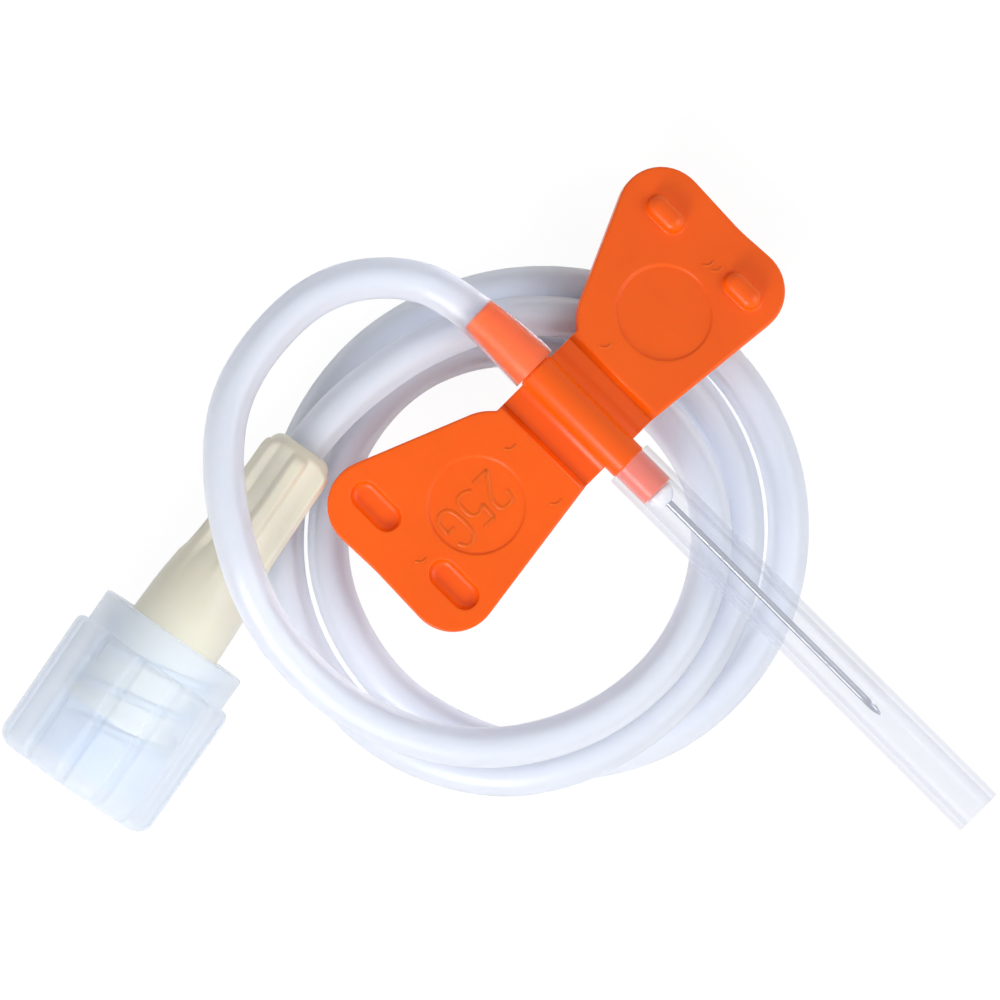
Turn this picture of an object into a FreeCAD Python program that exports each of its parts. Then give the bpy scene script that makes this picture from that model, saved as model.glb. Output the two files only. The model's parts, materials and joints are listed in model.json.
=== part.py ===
import FreeCAD, Part
import math
import os

Vector = FreeCAD.Vector

# Butterfly needle, also called a winged infusion set, lying on a table in a loose coil of its own tubing.
# Millimetres. The origin is where the cannula leaves its bead of adhesive, on the needle's axis.
# +X runs along the needle to its tip, +Y to the right wing, and +Z up.

# How the set lies
axis_height = 7.5          # the needle's axis over the table
wing_droop = 16.0          # degrees that the right wing's hinge has taken as a set, downwards

# Hub: tail stub, barrel and nose on one axis
tail_length = 5.2
tail_end_diameter = 2.0
tail_base_diameter = 2.3
barrel_length = 8.6
barrel_diameter = 2.64
barrel_round = 0.15        # radius round the barrel's two shoulders
nose_length = 2.7
nose_diameter = 2.4
lumen_diameter = 0.9       # fluid way behind the cannula
bead_length = 1.1          # adhesive ahead of the nose
bead_margin = 0.25         # nose's front face left bare round the adhesive
bead_tip_diameter = 0.8
slip_clearance = 0.02      # radial, between pieces that are pushed or glued together

# Hinge webs and wings
web_length = 7.6           # along the needle; the wing's neck is as long
web_setback = 0.15         # from the barrel's rear shoulder to the rear edge of webs and necks
web_thickness = 0.4
web_top = -0.6             # height of the webs' upper face against the axis
hinge_reach = 2.16         # hinge line from the needle's axis
hinge_gap = 0.08           # between the hub's web and the round edge of the wing's web
wing_start = 2.3           # where the web begins to rise into the thick plate
wing_thickness = 1.0
wing_slope = 0.9           # width of the slope from web to plate
wing_reach = 16.95         # wing tip from the needle's axis
wing_waist = 0.25          # how far the tip's edge dips between its two corners
wing_waist_radius = 16.0
wing_corner_radius = 3.0
shoulder_start = 3.7       # the neck's rear edge turns outwards here, from the needle's axis
shoulder_step = 0.8        # and steps back by this before the wing's long rear edge
shoulder_inner_radius = 0.1
shoulder_outer_radius = 3.6
wing_rear_spread = 5.7     # rear corner behind the barrel's shoulder
wing_front_spread = 9.7    # front corner ahead of the barrel's shoulder
wing_edge_round = 0.22
peg_distance = 13.7        # pegs and slots from the needle's axis
peg_places = (-1.2, 5.9)   # along the needle from the barrel's rear shoulder
slot_places = (-1.02, 6.2)
peg_length = 2.9
peg_width = 1.6
peg_height = 0.9
peg_round = 0.45
slot_end_clearance = 0.47   # at each end of a peg, for the moulding's shrinkage along the wing
slot_side_clearance = 0.12
slot_depth = 0.6
disc_radius = 3.1
disc_depth = 0.12
disc_distance = 9.0
disc_place = 3.6

# Cannula, 25 gauge
needle_diameter = 0.5
needle_bore = 0.26
needle_length = 19.8       # out of the adhesive
needle_root = 6.5          # inside the adhesive and the hub
bevel_angle = 14.0
side_bevel_angle = 19.0
side_bevel_roll = 38.0
wheel_length = 20.0        # block that stands for the grinding wheel
wheel_width = 4.0

# Needle sheath
sheath_length = 32.3
sheath_wall = 0.46
sheath_clearance = 0.04    # radial, on the nose
sheath_gap = 0.05          # from the barrel's front shoulder

# Tubing
tube_diameter = 2.7
sleeve_diameter = 3.3      # where the tube is stretched over the tail's base
sleeve_gap = 0.05
sleeve_bite = 0.06          # the sleeve's cone starts this far under the tube's surface
tube_overlap = 2.9         # the route starts this far inside the sleeve
tube_run_out = 1.9         # straight tube behind the tail

# Luer connector, measured from its rear end along its own axis
connector_rear = (-19.35, -14.6)
connector_heading = -79.85  # degrees from +X, from the rear end towards the mouth
connector_length = 21.6
connector_rear_radius = 2.7
connector_rib_end = 8.6     # the ribs fade into the plain cone from here
connector_mouth_radius = 3.3
connector_mouth_bevel = 0.2
core_rise = 0.1             # the core's own taper over the ribbed half
core_bevel = 0.4            # round the core's rear end
cone_rise_length = 2.0      # over which the core swells into the cone
cone_start_radius = 3.02
rib_count = 6
rib_width = 1.1
rib_height = 0.45
rib_roll = 9.0
rib_nose = 0.35             # ribs stand this far behind the core, rounded off
rib_fade_radius = 3.5       # envelope of the ribs at the mouth, so that they sink into the cone
socket_mouth_radius = 2.14  # six per cent luer taper
socket_depth = 8.6
luer_taper = 0.03           # radius lost for each millimetre of depth
lug_radius = 3.9
lug_width = 3.4
lug_thickness = 1.1
tube_insertion = 2.5         # tube inside the rear socket
fluid_bore = 1.4
tube_run_in = 1.9           # straight tube behind the connector

# Luer cap
cap_cover = 7.0             # how far the cap reaches over the connector
cap_length = 12.1
cap_radius = 5.95
cap_collar_radius = 5.3
cap_collar_length = 2.3
cap_shoulder = 0.5          # bevel where the grip begins
cap_bore_radius = 4.2
cap_end_wall = 1.2
cap_end_round = 1.0
plug_depth = 7.0            # male plug inside the socket
plug_clearance = 0.02
plug_bore_radius = 1.1
plug_end_wall = 0.6
grip_count = 12
grip_groove_depth = 0.28
grip_groove_width = 0.7

# The tubing's loose coil: bearing about the coil's centre in degrees, radius, and height over the table
coil_centre = (-4.75, -7.2)
coil_route = [
    (166, 19.55, 7.9),
    (178, 21.4, 8.5),
    (191, 21.9, 9.2),
    (202, 22.0, 9.9),
    (212, 21.3, 10.6),
    (222, 20.4, 11.0),
    (235, 19.5, 11.0),
    (250, 18.6, 8.8),
    (272, 17.05, 7.0),
    (298, 15.35, 6.4),
    (326, 13.6, 6.3),
    (356, 12.45, 5.7),
    (26, 11.75, 4.3),
    (56, 11.6, 3.6),
    (86, 11.15, 3.1),
    (114, 11.3, 2.1),
    (144, 12.75, 1.36),
    (175, 13.7, 1.36),
    (206, 14.2, 1.36),
    (237, 14.6, 1.36),
    (268, 14.7, 1.36),
    (295, 14.7, 1.36),
    (323, 15.8, 1.36),
    (353, 16.55, 1.36),
    (24, 16.95, 1.36),
    (55, 17.0, 1.36),
    (86, 17.0, 1.36),
    (117, 16.7, 1.36),
    (148, 16.55, 1.36),
    (180, 16.9, 1.36),
    (212, 17.3, 1.36),
    (243, 17.75, 1.36),
    (273, 17.8, 1.5),
    (301, 17.05, 3.35),
    (325, 15.8, 4.5),
    (353, 14.6, 3.7),
    (24, 14.0, 2.1),
    (55, 13.9, 1.36),
    (85, 13.95, 1.55),
    (115, 14.45, 3.5),
    (142, 14.4, 4.3),
    (167, 14.35, 4.6),
    (185, 14.85, 5.2),
]

# Places along the needle that follow from the sizes above
nose_front = -bead_length
barrel_front = nose_front - nose_length
barrel_rear = barrel_front - barrel_length
tail_end = barrel_rear - tail_length
table = -axis_height
neck_rear = barrel_rear + web_setback
web_middle = web_top - web_thickness / 2
wing_underside = web_top - web_thickness
wing_top = wing_underside + wing_thickness
sink = 0.2                 # depth that a raised form is rooted in what carries it
margin = 1.0               # length by which a cutting tool passes what it cuts


def turned(profile):
    """A solid turned about the X axis from (place along X, radius) corners; it closes along the axis."""
    first = profile[0][0]
    last = profile[-1][0]
    corners = [Vector(first, 0, 0)]
    for place, radius in profile:
        if radius > 0:
            corners.append(Vector(place, radius, 0))
    corners.append(Vector(last, 0, 0))
    corners.append(corners[0])
    face = Part.Face(Part.makePolygon(corners))
    return face.revolve(Vector(0, 0, 0), Vector(1, 0, 0), 360)


def rod(start, end, radius):
    """A plain round rod along the X axis."""
    return Part.makeCylinder(radius, end - start, Vector(start, 0, 0), Vector(1, 0, 0))


def block(low, high):
    """A box between two opposite corners."""
    size = [h - l for l, h in zip(low, high)]
    return Part.makeBox(size[0], size[1], size[2], Vector(*low))


def rounded_outline(corners):
    """A closed flat wire through (x, y, radius) corners, with a tangent arc at each corner with a radius."""
    starts = []
    ends = []
    edges = []
    count = len(corners)
    for i, (x, y, radius) in enumerate(corners):
        here = Vector(x, y, 0)
        before = Vector(corners[i - 1][0], corners[i - 1][1], 0)
        after = Vector(corners[(i + 1) % count][0], corners[(i + 1) % count][1], 0)
        into = (here - before).normalize()
        out = (after - here).normalize()
        half_turn = into.getAngle(out) / 2
        reach = radius * math.tan(half_turn)
        starts.append(here - into * reach)
        ends.append(here + out * reach)
        if radius > 0:
            inward = (out - into).normalize()
            middle = here + inward * (radius / math.cos(half_turn) - radius)
            edges.append(Part.Arc(starts[-1], middle, ends[-1]).toShape())
    for i in range(count):
        start = ends[i]
        end = starts[(i + 1) % count]
        if start.distanceToPoint(end) > 1e-6:
            edges.append(Part.LineSegment(start, end).toShape())
    return Part.Wire(Part.__sortEdges__(edges))


def raised(outline, bottom, height):
    """A flat outline lifted to a height and pushed up into a plate."""
    face = Part.Face(outline)
    face.translate(Vector(0, 0, bottom))
    return face.extrude(Vector(0, 0, height))


def obround(x, y, length, width, bottom, height):
    """A straight-sided plate with round ends, long along X."""
    radius = width / 2
    half = length / 2
    corners = [
        (x - half, y - radius, radius),
        (x + half, y - radius, radius),
        (x + half, y + radius, radius),
        (x - half, y + radius, radius),
    ]
    return raised(rounded_outline(corners), bottom, height)


def edges_at_height(shape, height):
    """The edges that lie wholly at one height."""
    return [e for e in shape.Edges if all(abs(v.Z - height) < 1e-6 for v in e.Vertexes)]


def save(shape, name):
    shape.exportStep("parts/" + name + ".step")
    print(name, "solids", len(shape.Solids), "volume", round(shape.Volume, 2), "valid", shape.isValid())


def make_hub():
    """Barrel, tail stub and nose, with the fluid way through them and a web on each side."""
    stub = turned([
        (tail_end, tail_end_diameter / 2),
        (barrel_rear + barrel_round, tail_base_diameter / 2),
    ])
    barrel = rod(barrel_rear, barrel_front, barrel_diameter / 2)
    shoulders = [e for e in barrel.Edges if len(e.Vertexes) == 1]
    barrel = barrel.makeFillet(barrel_round, shoulders)
    nose = rod(barrel_front - barrel_round, nose_front, nose_diameter / 2)
    web_reach = hinge_reach - web_thickness / 2 - hinge_gap
    web = block((neck_rear, -web_reach, wing_underside), (neck_rear + web_length, web_reach, web_top))
    hub = barrel.multiFuse([stub, nose, web])
    needle_way = needle_diameter / 2 + slip_clearance
    hub = hub.cut(rod(tail_end - margin, barrel_front, lumen_diameter / 2))
    return hub.cut(rod(barrel_front - margin, nose_front + margin, needle_way)).removeSplitter()


def wing_outline():
    """The wing's outline on the +Y side, from the hinge out to the tip."""
    tip_middle = barrel_rear + (wing_front_spread - wing_rear_spread) / 2
    return rounded_outline([
        (neck_rear, wing_start, 0),
        (neck_rear, shoulder_start, shoulder_inner_radius),
        (neck_rear - shoulder_step, shoulder_start + shoulder_step, shoulder_outer_radius),
        (barrel_rear - wing_rear_spread, wing_reach, wing_corner_radius),
        (tip_middle, wing_reach - wing_waist, wing_waist_radius),
        (barrel_rear + wing_front_spread, wing_reach, wing_corner_radius),
        (neck_rear + web_length, wing_start, 0),
    ])


def make_wing():
    """A plain wing on the +Y side: the outer part of the hinge web and the plate with its round recess."""
    plate = raised(wing_outline(), wing_underside, wing_thickness)
    plate = plate.makeFillet(wing_edge_round, edges_at_height(plate, wing_top))
    inside = wing_start - margin
    slope_end = wing_start + wing_slope
    above = wing_top + margin
    side = neck_rear - margin
    slope = Part.makePolygon([
        Vector(side, inside, above),
        Vector(side, slope_end, above),
        Vector(side, slope_end, wing_top),
        Vector(side, wing_start, web_top),
        Vector(side, inside, web_top),
        Vector(side, inside, above),
    ])
    plate = plate.cut(Part.Face(slope).extrude(Vector(web_length + 2 * margin, 0, 0)))
    web = block((neck_rear, hinge_reach, wing_underside), (neck_rear + web_length, slope_end, web_top))
    web = web.cut(Part.Face(slope).extrude(Vector(web_length + 2 * margin, 0, 0)))
    hinge_start = Vector(neck_rear, hinge_reach, web_middle)
    roll = Part.makeCylinder(web_thickness / 2, web_length, hinge_start, Vector(1, 0, 0))
    disc_middle = Vector(barrel_rear + disc_place, disc_distance, wing_top - disc_depth)
    disc = Part.makeCylinder(disc_radius, wing_thickness, disc_middle)
    return plate.multiFuse([web, roll]).cut(disc).removeSplitter()


def make_right_wing():
    """The wing with the two pegs, turned down about its hinge by the set that it has taken."""
    wing = make_wing()
    for place in peg_places:
        x = barrel_rear + place
        peg = obround(x, peg_distance, peg_length, peg_width, wing_top - sink, peg_height + sink)
        peg = peg.makeFillet(peg_round, edges_at_height(peg, wing_top + peg_height))
        wing = wing.fuse(peg)
    wing.rotate(Vector(0, hinge_reach, web_middle), Vector(1, 0, 0), -wing_droop)
    return wing


def make_left_wing():
    """The wing with the two slots that the pegs enter when both wings are folded up."""
    wing = make_wing()
    length = peg_length + 2 * slot_end_clearance
    width = peg_width + 2 * slot_side_clearance
    floor = wing_top - slot_depth
    for place in slot_places:
        wing = wing.cut(obround(barrel_rear + place, peg_distance, length, width, floor, slot_depth + margin))
    return wing.mirror(Vector(0, 0, 0), Vector(0, 1, 0))


def make_needle():
    """The cannula, with a long ground bevel that opens upwards and two side grinds at its point."""
    tip = needle_length
    radius = needle_diameter / 2
    needle = rod(-needle_root, tip, radius)
    grinds = [(bevel_angle, 0.0), (side_bevel_angle, side_bevel_roll), (side_bevel_angle, -side_bevel_roll)]
    for angle, roll in grinds:
        wheel = Part.makeBox(wheel_length, wheel_width, wheel_width, Vector(-wheel_length, -wheel_width / 2, 0))
        wheel.rotate(Vector(0, 0, 0), Vector(0, 1, 0), angle)
        wheel.translate(Vector(tip, 0, -radius))
        wheel.rotate(Vector(0, 0, 0), Vector(1, 0, 0), roll)
        needle = needle.cut(wheel)
    return needle.cut(rod(-needle_root - margin, tip + margin, needle_bore / 2))


def make_adhesive():
    """The bead of adhesive between the nose's front face and the cannula."""
    base = nose_diameter / 2 - bead_margin
    tip = bead_tip_diameter / 2
    middle = (base + tip) / 2
    bead = turned([
        (nose_front, base),
        (nose_front + bead_length / 3, (base + middle) / 2),
        (nose_front + bead_length * 2 / 3, middle),
        (0, tip),
    ])
    return bead.cut(rod(nose_front - margin, margin, needle_diameter / 2 + slip_clearance / 2))


def make_sheath():
    """The needle's protector: a plain extruded tube, open at both ends, held by the nose."""
    bore = nose_diameter / 2 + sheath_clearance
    start = barrel_front + sheath_gap
    sheath = rod(start, start + sheath_length, bore + sheath_wall)
    return sheath.cut(rod(start - margin, start + sheath_length + margin, bore))


def connector_direction():
    heading = math.radians(connector_heading)
    return Vector(math.cos(heading), math.sin(heading), 0)


def connector_origin():
    """The middle of the connector's rear end; its axis is as high as the cap's radius."""
    return Vector(connector_rear[0], connector_rear[1], table + cap_radius)


def on_connector_axis(shape):
    """Moves a shape made along the X axis onto the connector's axis."""
    shape.Placement = FreeCAD.Placement(connector_origin(), FreeCAD.Rotation(Vector(0, 0, 1), connector_heading))
    return shape


def tubing_route():
    """The tubing's points from the hub's tail to the connector's socket."""
    points = [Vector(tail_end + tube_overlap, 0, 0), Vector(tail_end - tube_run_out, 0, 0)]
    for bearing, radius, height in coil_route:
        angle = math.radians(bearing)
        x = coil_centre[0] + radius * math.cos(angle)
        y = coil_centre[1] + radius * math.sin(angle)
        points.append(Vector(x, y, table + height))
    points.append(connector_origin() - connector_direction() * tube_run_in)
    points.append(connector_origin() + connector_direction() * tube_insertion)
    return points


def smooth_path(points):
    """Straight runs joined by tangent arcs, each arc as large as its two runs allow."""
    edges = []
    radii = []
    start = points[0]
    for before, here, after in zip(points, points[1:], points[2:]):
        into = (here - before).normalize()
        out = (after - here).normalize()
        half_turn = into.getAngle(out) / 2
        reach = 0.45 * min(here.distanceToPoint(before), after.distanceToPoint(here))
        radius = reach / math.tan(half_turn)
        inward = (out - into).normalize()
        middle = here + inward * (radius / math.cos(half_turn) - radius)
        arc_start = here - into * reach
        arc_end = here + out * reach
        edges.append(Part.LineSegment(start, arc_start).toShape())
        edges.append(Part.Arc(arc_start, middle, arc_end).toShape())
        start = arc_end
        radii.append(radius)
    edges.append(Part.LineSegment(start, points[-1]).toShape())
    print("tubing arcs", len(radii), "smallest radius", round(min(radii), 2))
    return Part.Wire(edges)


def make_tubing():
    """The soft tube: a sleeve stretched over the hub's tail, the coil, and the end in the connector."""
    points = tubing_route()
    path = smooth_path(points)
    section = Part.Wire(Part.makeCircle(tube_diameter / 2, points[0], points[1] - points[0]))
    tube = path.makePipeShell([section], True, False)
    plain_volume = math.pi / 4 * tube_diameter ** 2 * path.Length
    print("tubing length", round(path.Length, 2), "volume ratio", round(tube.Volume / plain_volume, 4))
    sleeve_start = (points[0].x + points[1].x) / 2
    sleeve = turned([
        (sleeve_start, tube_diameter / 2 - sleeve_bite),
        (barrel_rear - sleeve_gap, sleeve_diameter / 2),
    ])
    stub_room = turned([
        (tail_end, tail_end_diameter / 2 + slip_clearance),
        (barrel_rear, tail_base_diameter / 2 + slip_clearance),
    ])
    return tube.fuse(sleeve).cut(stub_room).removeSplitter()


def make_connector():
    """Female luer connector: ribbed rear end with the tubing's socket, and a plain taper to the lugs."""
    core_radius = connector_rear_radius - rib_height
    mouth = connector_length
    core = turned([
        (0, core_radius - core_bevel),
        (core_bevel, core_radius),
        (connector_rib_end - cone_rise_length, core_radius + core_rise),
        (connector_rib_end, cone_start_radius),
        (mouth - cap_cover, connector_mouth_radius),
        (mouth - connector_mouth_bevel, connector_mouth_radius),
        (mouth, connector_mouth_radius - connector_mouth_bevel),
    ])
    envelope = turned([
        (-rib_nose, connector_rear_radius - 3 * rib_nose),
        (-rib_nose / 3, connector_rear_radius - 1.6 * rib_nose),
        (rib_nose, connector_rear_radius - rib_nose / 2),
        (3 * rib_nose, connector_rear_radius),
        (connector_rib_end, connector_rear_radius + core_rise),
        (mouth, rib_fade_radius),
    ])
    for i in range(rib_count):
        low = (-rib_nose, -rib_width / 2, 0)
        high = (mouth - cap_cover - margin, rib_width / 2, connector_mouth_radius + margin)
        rib = block(low, high)
        rib.rotate(Vector(0, 0, 0), Vector(1, 0, 0), rib_roll + i * 360 / rib_count)
        core = core.fuse(rib.common(envelope))
    lug = block((mouth - lug_thickness, -lug_radius, -lug_width / 2), (mouth, lug_radius, lug_width / 2))
    core = core.fuse(lug.common(rod(mouth - lug_thickness, mouth, lug_radius)))
    tube_socket = tube_diameter / 2 + slip_clearance
    core = core.cut(rod(-margin, tube_insertion + slip_clearance, tube_socket))
    core = core.cut(rod(0, mouth, fluid_bore / 2))
    luer_socket = turned([
        (mouth - socket_depth, socket_mouth_radius - luer_taper * socket_depth),
        (mouth, socket_mouth_radius),
        (mouth + margin, socket_mouth_radius + luer_taper * margin),
    ])
    return on_connector_axis(core.cut(luer_socket).removeSplitter())


def make_cap():
    """Luer cap: a grooved grip, a plain collar and a tapered plug that closes the connector's socket."""
    mouth = connector_length
    rim = mouth - cap_cover
    end = rim + cap_length
    inner_end = end - cap_end_wall
    grip_start = rim + cap_collar_length
    body = turned([
        (rim, cap_collar_radius),
        (grip_start, cap_collar_radius),
        (grip_start, cap_radius - cap_shoulder),
        (grip_start + cap_shoulder, cap_radius),
        (end - cap_end_round, cap_radius),
        (end - cap_end_round * 0.3, cap_radius - cap_end_round * 0.3),
        (end, cap_radius - cap_end_round),
    ])
    for i in range(grip_count):
        low = (grip_start, -grip_groove_width / 2, cap_radius - grip_groove_depth)
        high = (end + margin, grip_groove_width / 2, cap_radius + margin)
        groove = block(low, high)
        groove.rotate(Vector(0, 0, 0), Vector(1, 0, 0), (i + 0.5) * 360 / grip_count)
        body = body.cut(groove)
    body = body.cut(rod(rim - margin, inner_end, cap_bore_radius))
    tip = mouth - plug_depth
    root = inner_end + sink
    at_mouth = socket_mouth_radius - plug_clearance
    plug = turned([
        (tip, at_mouth - luer_taper * plug_depth),
        (root, at_mouth + luer_taper * (root - mouth)),
    ])
    plug = plug.cut(rod(tip - margin, inner_end - plug_end_wall, plug_bore_radius))
    return on_connector_axis(body.fuse(plug).removeSplitter())


os.makedirs("parts", exist_ok=True)
save(make_hub(), "hub")
save(make_left_wing(), "left_wing")
save(make_right_wing(), "right_wing")
save(make_needle(), "needle")
save(make_adhesive(), "needle_adhesive")
save(make_sheath(), "needle_sheath")
save(make_tubing(), "tubing")
save(make_connector(), "luer_connector")
save(make_cap(), "luer_cap")
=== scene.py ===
import json
import math

import bmesh
import bpy
from bpy.props import FloatProperty, FloatVectorProperty, IntProperty, PointerProperty
from mathutils import Matrix, Vector
from mathutils.geometry import tessellate_polygon


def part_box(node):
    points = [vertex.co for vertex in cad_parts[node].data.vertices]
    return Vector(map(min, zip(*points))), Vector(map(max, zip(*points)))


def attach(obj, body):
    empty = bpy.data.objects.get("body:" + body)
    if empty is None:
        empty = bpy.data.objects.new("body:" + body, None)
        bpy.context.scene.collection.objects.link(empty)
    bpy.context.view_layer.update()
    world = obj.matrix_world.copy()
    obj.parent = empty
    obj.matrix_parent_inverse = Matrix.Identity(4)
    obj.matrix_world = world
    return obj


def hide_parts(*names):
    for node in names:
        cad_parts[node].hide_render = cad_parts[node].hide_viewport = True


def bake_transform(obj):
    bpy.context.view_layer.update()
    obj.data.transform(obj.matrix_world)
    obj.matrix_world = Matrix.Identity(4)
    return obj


bl_info = {
    "name": "Butterfly needle",
    "version": (1, 0, 0),
    "blender": (4, 5, 0),
    "location": "View3D > Sidebar > Butterfly needle",
    "description": "Makes a winged infusion set: wings, sheathed needle, coiled tubing, connector and cap",
    "category": "Object",
}

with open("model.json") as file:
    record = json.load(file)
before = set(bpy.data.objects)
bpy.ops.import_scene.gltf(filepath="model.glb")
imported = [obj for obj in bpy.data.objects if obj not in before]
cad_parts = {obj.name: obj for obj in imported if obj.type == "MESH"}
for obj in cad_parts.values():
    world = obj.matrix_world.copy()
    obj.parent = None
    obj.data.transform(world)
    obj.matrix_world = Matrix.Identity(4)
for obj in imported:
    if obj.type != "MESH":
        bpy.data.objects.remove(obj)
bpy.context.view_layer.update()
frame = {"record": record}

MM = 0.001

# Bodies and places that the frame gives
HUB_BODY = "hub_with_line"
hub_low, hub_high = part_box("hub")
wing_low, wing_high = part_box("left_wing")
sheath_low, sheath_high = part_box("needle_sheath")
needle_low, needle_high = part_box("needle")
bead_low, bead_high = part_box("needle_adhesive")
table = min(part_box("tubing")[0].z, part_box("luer_cap")[0].z)
mounts = {mount["name"]: mount for mount in frame["record"]["mounts"]}
joints = {joint["name"]: joint for joint in frame["record"]["behaviour"]["joints"]}
hinge_reach = joints["right_wing_fold"]["pos_m"][1]
hinge_height = joints["right_wing_fold"]["pos_m"][2]
connector_axis = Vector(mounts["luer_socket"]["axis"]).normalized()
connector_mouth = Vector(mounts["luer_socket"]["pos_m"])

# The hub's lengths along the needle
TAIL_LENGTH = 5.2
BARREL_LENGTH = 8.6

# Places on the wings: along the needle from the barrel's rear shoulder, and from the needle's axis
PEG_PLACES = (-1.15, 5.95)
SLOT_PLACES = (-1.02, 6.2)
LEFT_DISC = (3.6, 9.0)
RIGHT_DISC = (3.36, 8.66)

# Sides of a turned piece, and of one that carries ribs or grooves
ROUND_SIDES = 96
RIBBED_SIDES = 360

# The picture's middle in the frame, and its turn, which points the needle down to the right
VIEW_CENTRE = (-7.98, -7.67)
VIEW_TURN = 45.0


def colour(code):
    """An sRGB hex code as linear red, green and blue."""
    parts = [int(code[i:i + 2], 16) / 255 for i in (1, 3, 5)]
    return tuple(p / 12.92 if p <= 0.04045 else ((p + 0.055) / 1.055) ** 2.4 for p in parts)


def barrel_rear():
    """Where the barrel's rear shoulder stands, from the tail's end in the frame."""
    return hub_low.x + TAIL_LENGTH * MM


def length_property(name, description, millimetres):
    """A length that a user may change, given in millimetres and kept in metres."""
    return FloatProperty(name=name, description=description, default=millimetres * MM, min=0.0, unit="LENGTH")


def colour_property(name, description, code):
    """A colour that a user may change, given as a hex code."""
    return FloatVectorProperty(name=name, description=description, default=colour(code), subtype="COLOR",
                               size=3, min=0.0, max=1.0)


class WingSizes(bpy.types.PropertyGroup):
    neck_length: length_property("Neck length", "Webs and the wings' necks, along the needle", 7.6)
    neck_setback: length_property("Neck setback", "Barrel's rear shoulder to the neck's rear edge", 0.15)
    web_thickness: length_property("Web thickness", "Thickness of the hinge webs", 0.4)
    slope_start: length_property("Slope start", "Where the web starts to rise into the plate", 3.0)
    slope: length_property("Slope", "Width of the hollow slope from web to plate", 0.3)
    edge_round: length_property("Edge round", "Radius round the plate's upper edge", 0.16)
    corner_radius: length_property("Corner radius", "Radius of the plate's two outer corners", 3.0)
    waist: length_property("Waist", "How far the tip's edge dips between its corners", 0.25)
    shoulder_start: length_property("Shoulder start", "Where the neck's rear edge turns outwards", 3.7)
    shoulder_step: length_property("Shoulder step", "How far the rear edge steps back there", 0.8)
    rear_spread: length_property("Rear spread", "Rear corner behind the barrel's shoulder", 5.7)
    front_spread: length_property("Front spread", "Front corner ahead of the barrel's shoulder", 9.7)
    right_shoulder_step: length_property("Right shoulder step", "The same step on the right wing", 1.05)
    right_rear_spread: length_property("Right rear spread", "Rear corner of the right wing", 6.05)
    right_front_spread: length_property("Right front spread", "Front corner of the right wing", 9.15)
    right_trim: length_property("Right trim", "How much less far the right wing reaches", 0.2)
    right_waist_shift: length_property("Right waist shift", "Waist of the right wing's tip, forwards", 1.1)
    peg_distance: length_property("Peg distance", "Pegs from the needle's axis", 13.45)
    slot_distance: length_property("Slot distance", "Slots from the needle's axis", 13.7)
    peg_length: length_property("Peg length", "Length of a peg, along the needle", 2.9)
    peg_width: length_property("Peg width", "Width of a peg", 1.6)
    peg_height: length_property("Peg height", "How far a peg stands out of its wing", 0.85)
    slot_length: length_property("Slot length", "Length of a slot, along the needle", 3.85)
    slot_width: length_property("Slot width", "Width of a slot", 1.85)
    slot_depth: length_property("Slot depth", "Depth of a slot", 0.6)
    disc_radius: length_property("Disc radius", "Radius of the round recess", 3.2)
    disc_depth: length_property("Disc depth", "Depth of the round recess", 0.14)
    droop: FloatProperty(name="Droop", description="Set that the right wing's hinge has taken",
                         default=math.radians(16.0), unit="ROTATION")
    tint: colour_property("Colour", "Colour of the wings and hub", "#FF6405")


class TubeSizes(bpy.types.PropertyGroup):
    diameter: length_property("Diameter", "Outside of the tube", 2.7)
    bore: length_property("Bore", "Inside of the tube", 1.4)
    sleeve_diameter: length_property("Sleeve diameter", "Outside of the tube where it is stretched on", 3.3)
    tail_diameter: length_property("Tail diameter", "End of the stub that the tube is pushed over", 2.0)
    base_diameter: length_property("Base diameter", "The stub at the barrel", 2.3)
    tint: colour_property("Colour", "Colour of the tube", "#E8EBF2")


class SheathSizes(bpy.types.PropertyGroup):
    wall: length_property("Wall", "Wall of the needle's sheath", 0.46)
    tint: colour_property("Colour", "Colour of the sheath", "#D3D8E8")


class ConnectorSizes(bpy.types.PropertyGroup):
    length: length_property("Length", "Rear end to mouth", 21.6)
    rear_radius: length_property("Rear radius", "Over the ribs at the rear end", 2.7)
    mouth_radius: length_property("Mouth radius", "Outside at the mouth", 3.3)
    rib_height: length_property("Rib height", "How far the ribs stand out of the rear half", 0.45)
    rib_width: length_property("Rib width", "Width of a rib", 1.1)
    rib_count: IntProperty(name="Ribs", description="Number of ribs round the rear half", default=6, min=2)
    rib_roll: FloatProperty(name="Rib roll", description="Turn of the first rib from the top",
                            default=math.radians(5.0), unit="ROTATION")
    tint: colour_property("Colour", "Colour of the connector", "#E4DFCC")


class CapSizes(bpy.types.PropertyGroup):
    cover: length_property("Cover", "How far the cap reaches over the connector", 7.0)
    length: length_property("Length", "Rim to closed end", 12.1)
    radius: length_property("Radius", "Outside of the grip", 5.95)
    collar_radius: length_property("Collar radius", "Outside of the plain collar", 5.3)
    collar_length: length_property("Collar length", "Rim to where the grip begins", 2.3)
    groove_count: IntProperty(name="Grooves", description="Number of grooves round the grip",
                              default=12, min=3)
    groove_roll: FloatProperty(name="Groove roll", description="Turn of the first groove from the top",
                               default=math.radians(22.0), unit="ROTATION")
    tint: colour_property("Colour", "Colour of the cap", "#E2EAF6")


class StageSizes(bpy.types.PropertyGroup):
    view_width: length_property("View width", "Width of the picture at the wings' height", 65.36)
    focal_length: FloatProperty(name="Focal length", description="Camera lens in millimetres", default=500.0)


# Outlines


def clamped(value):
    """A value held between none and all."""
    return min(max(value, 0.0), 1.0)


def eased(share):
    """A share from none to all that starts and ends softly."""
    return share * share * (3 - 2 * share)


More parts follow.
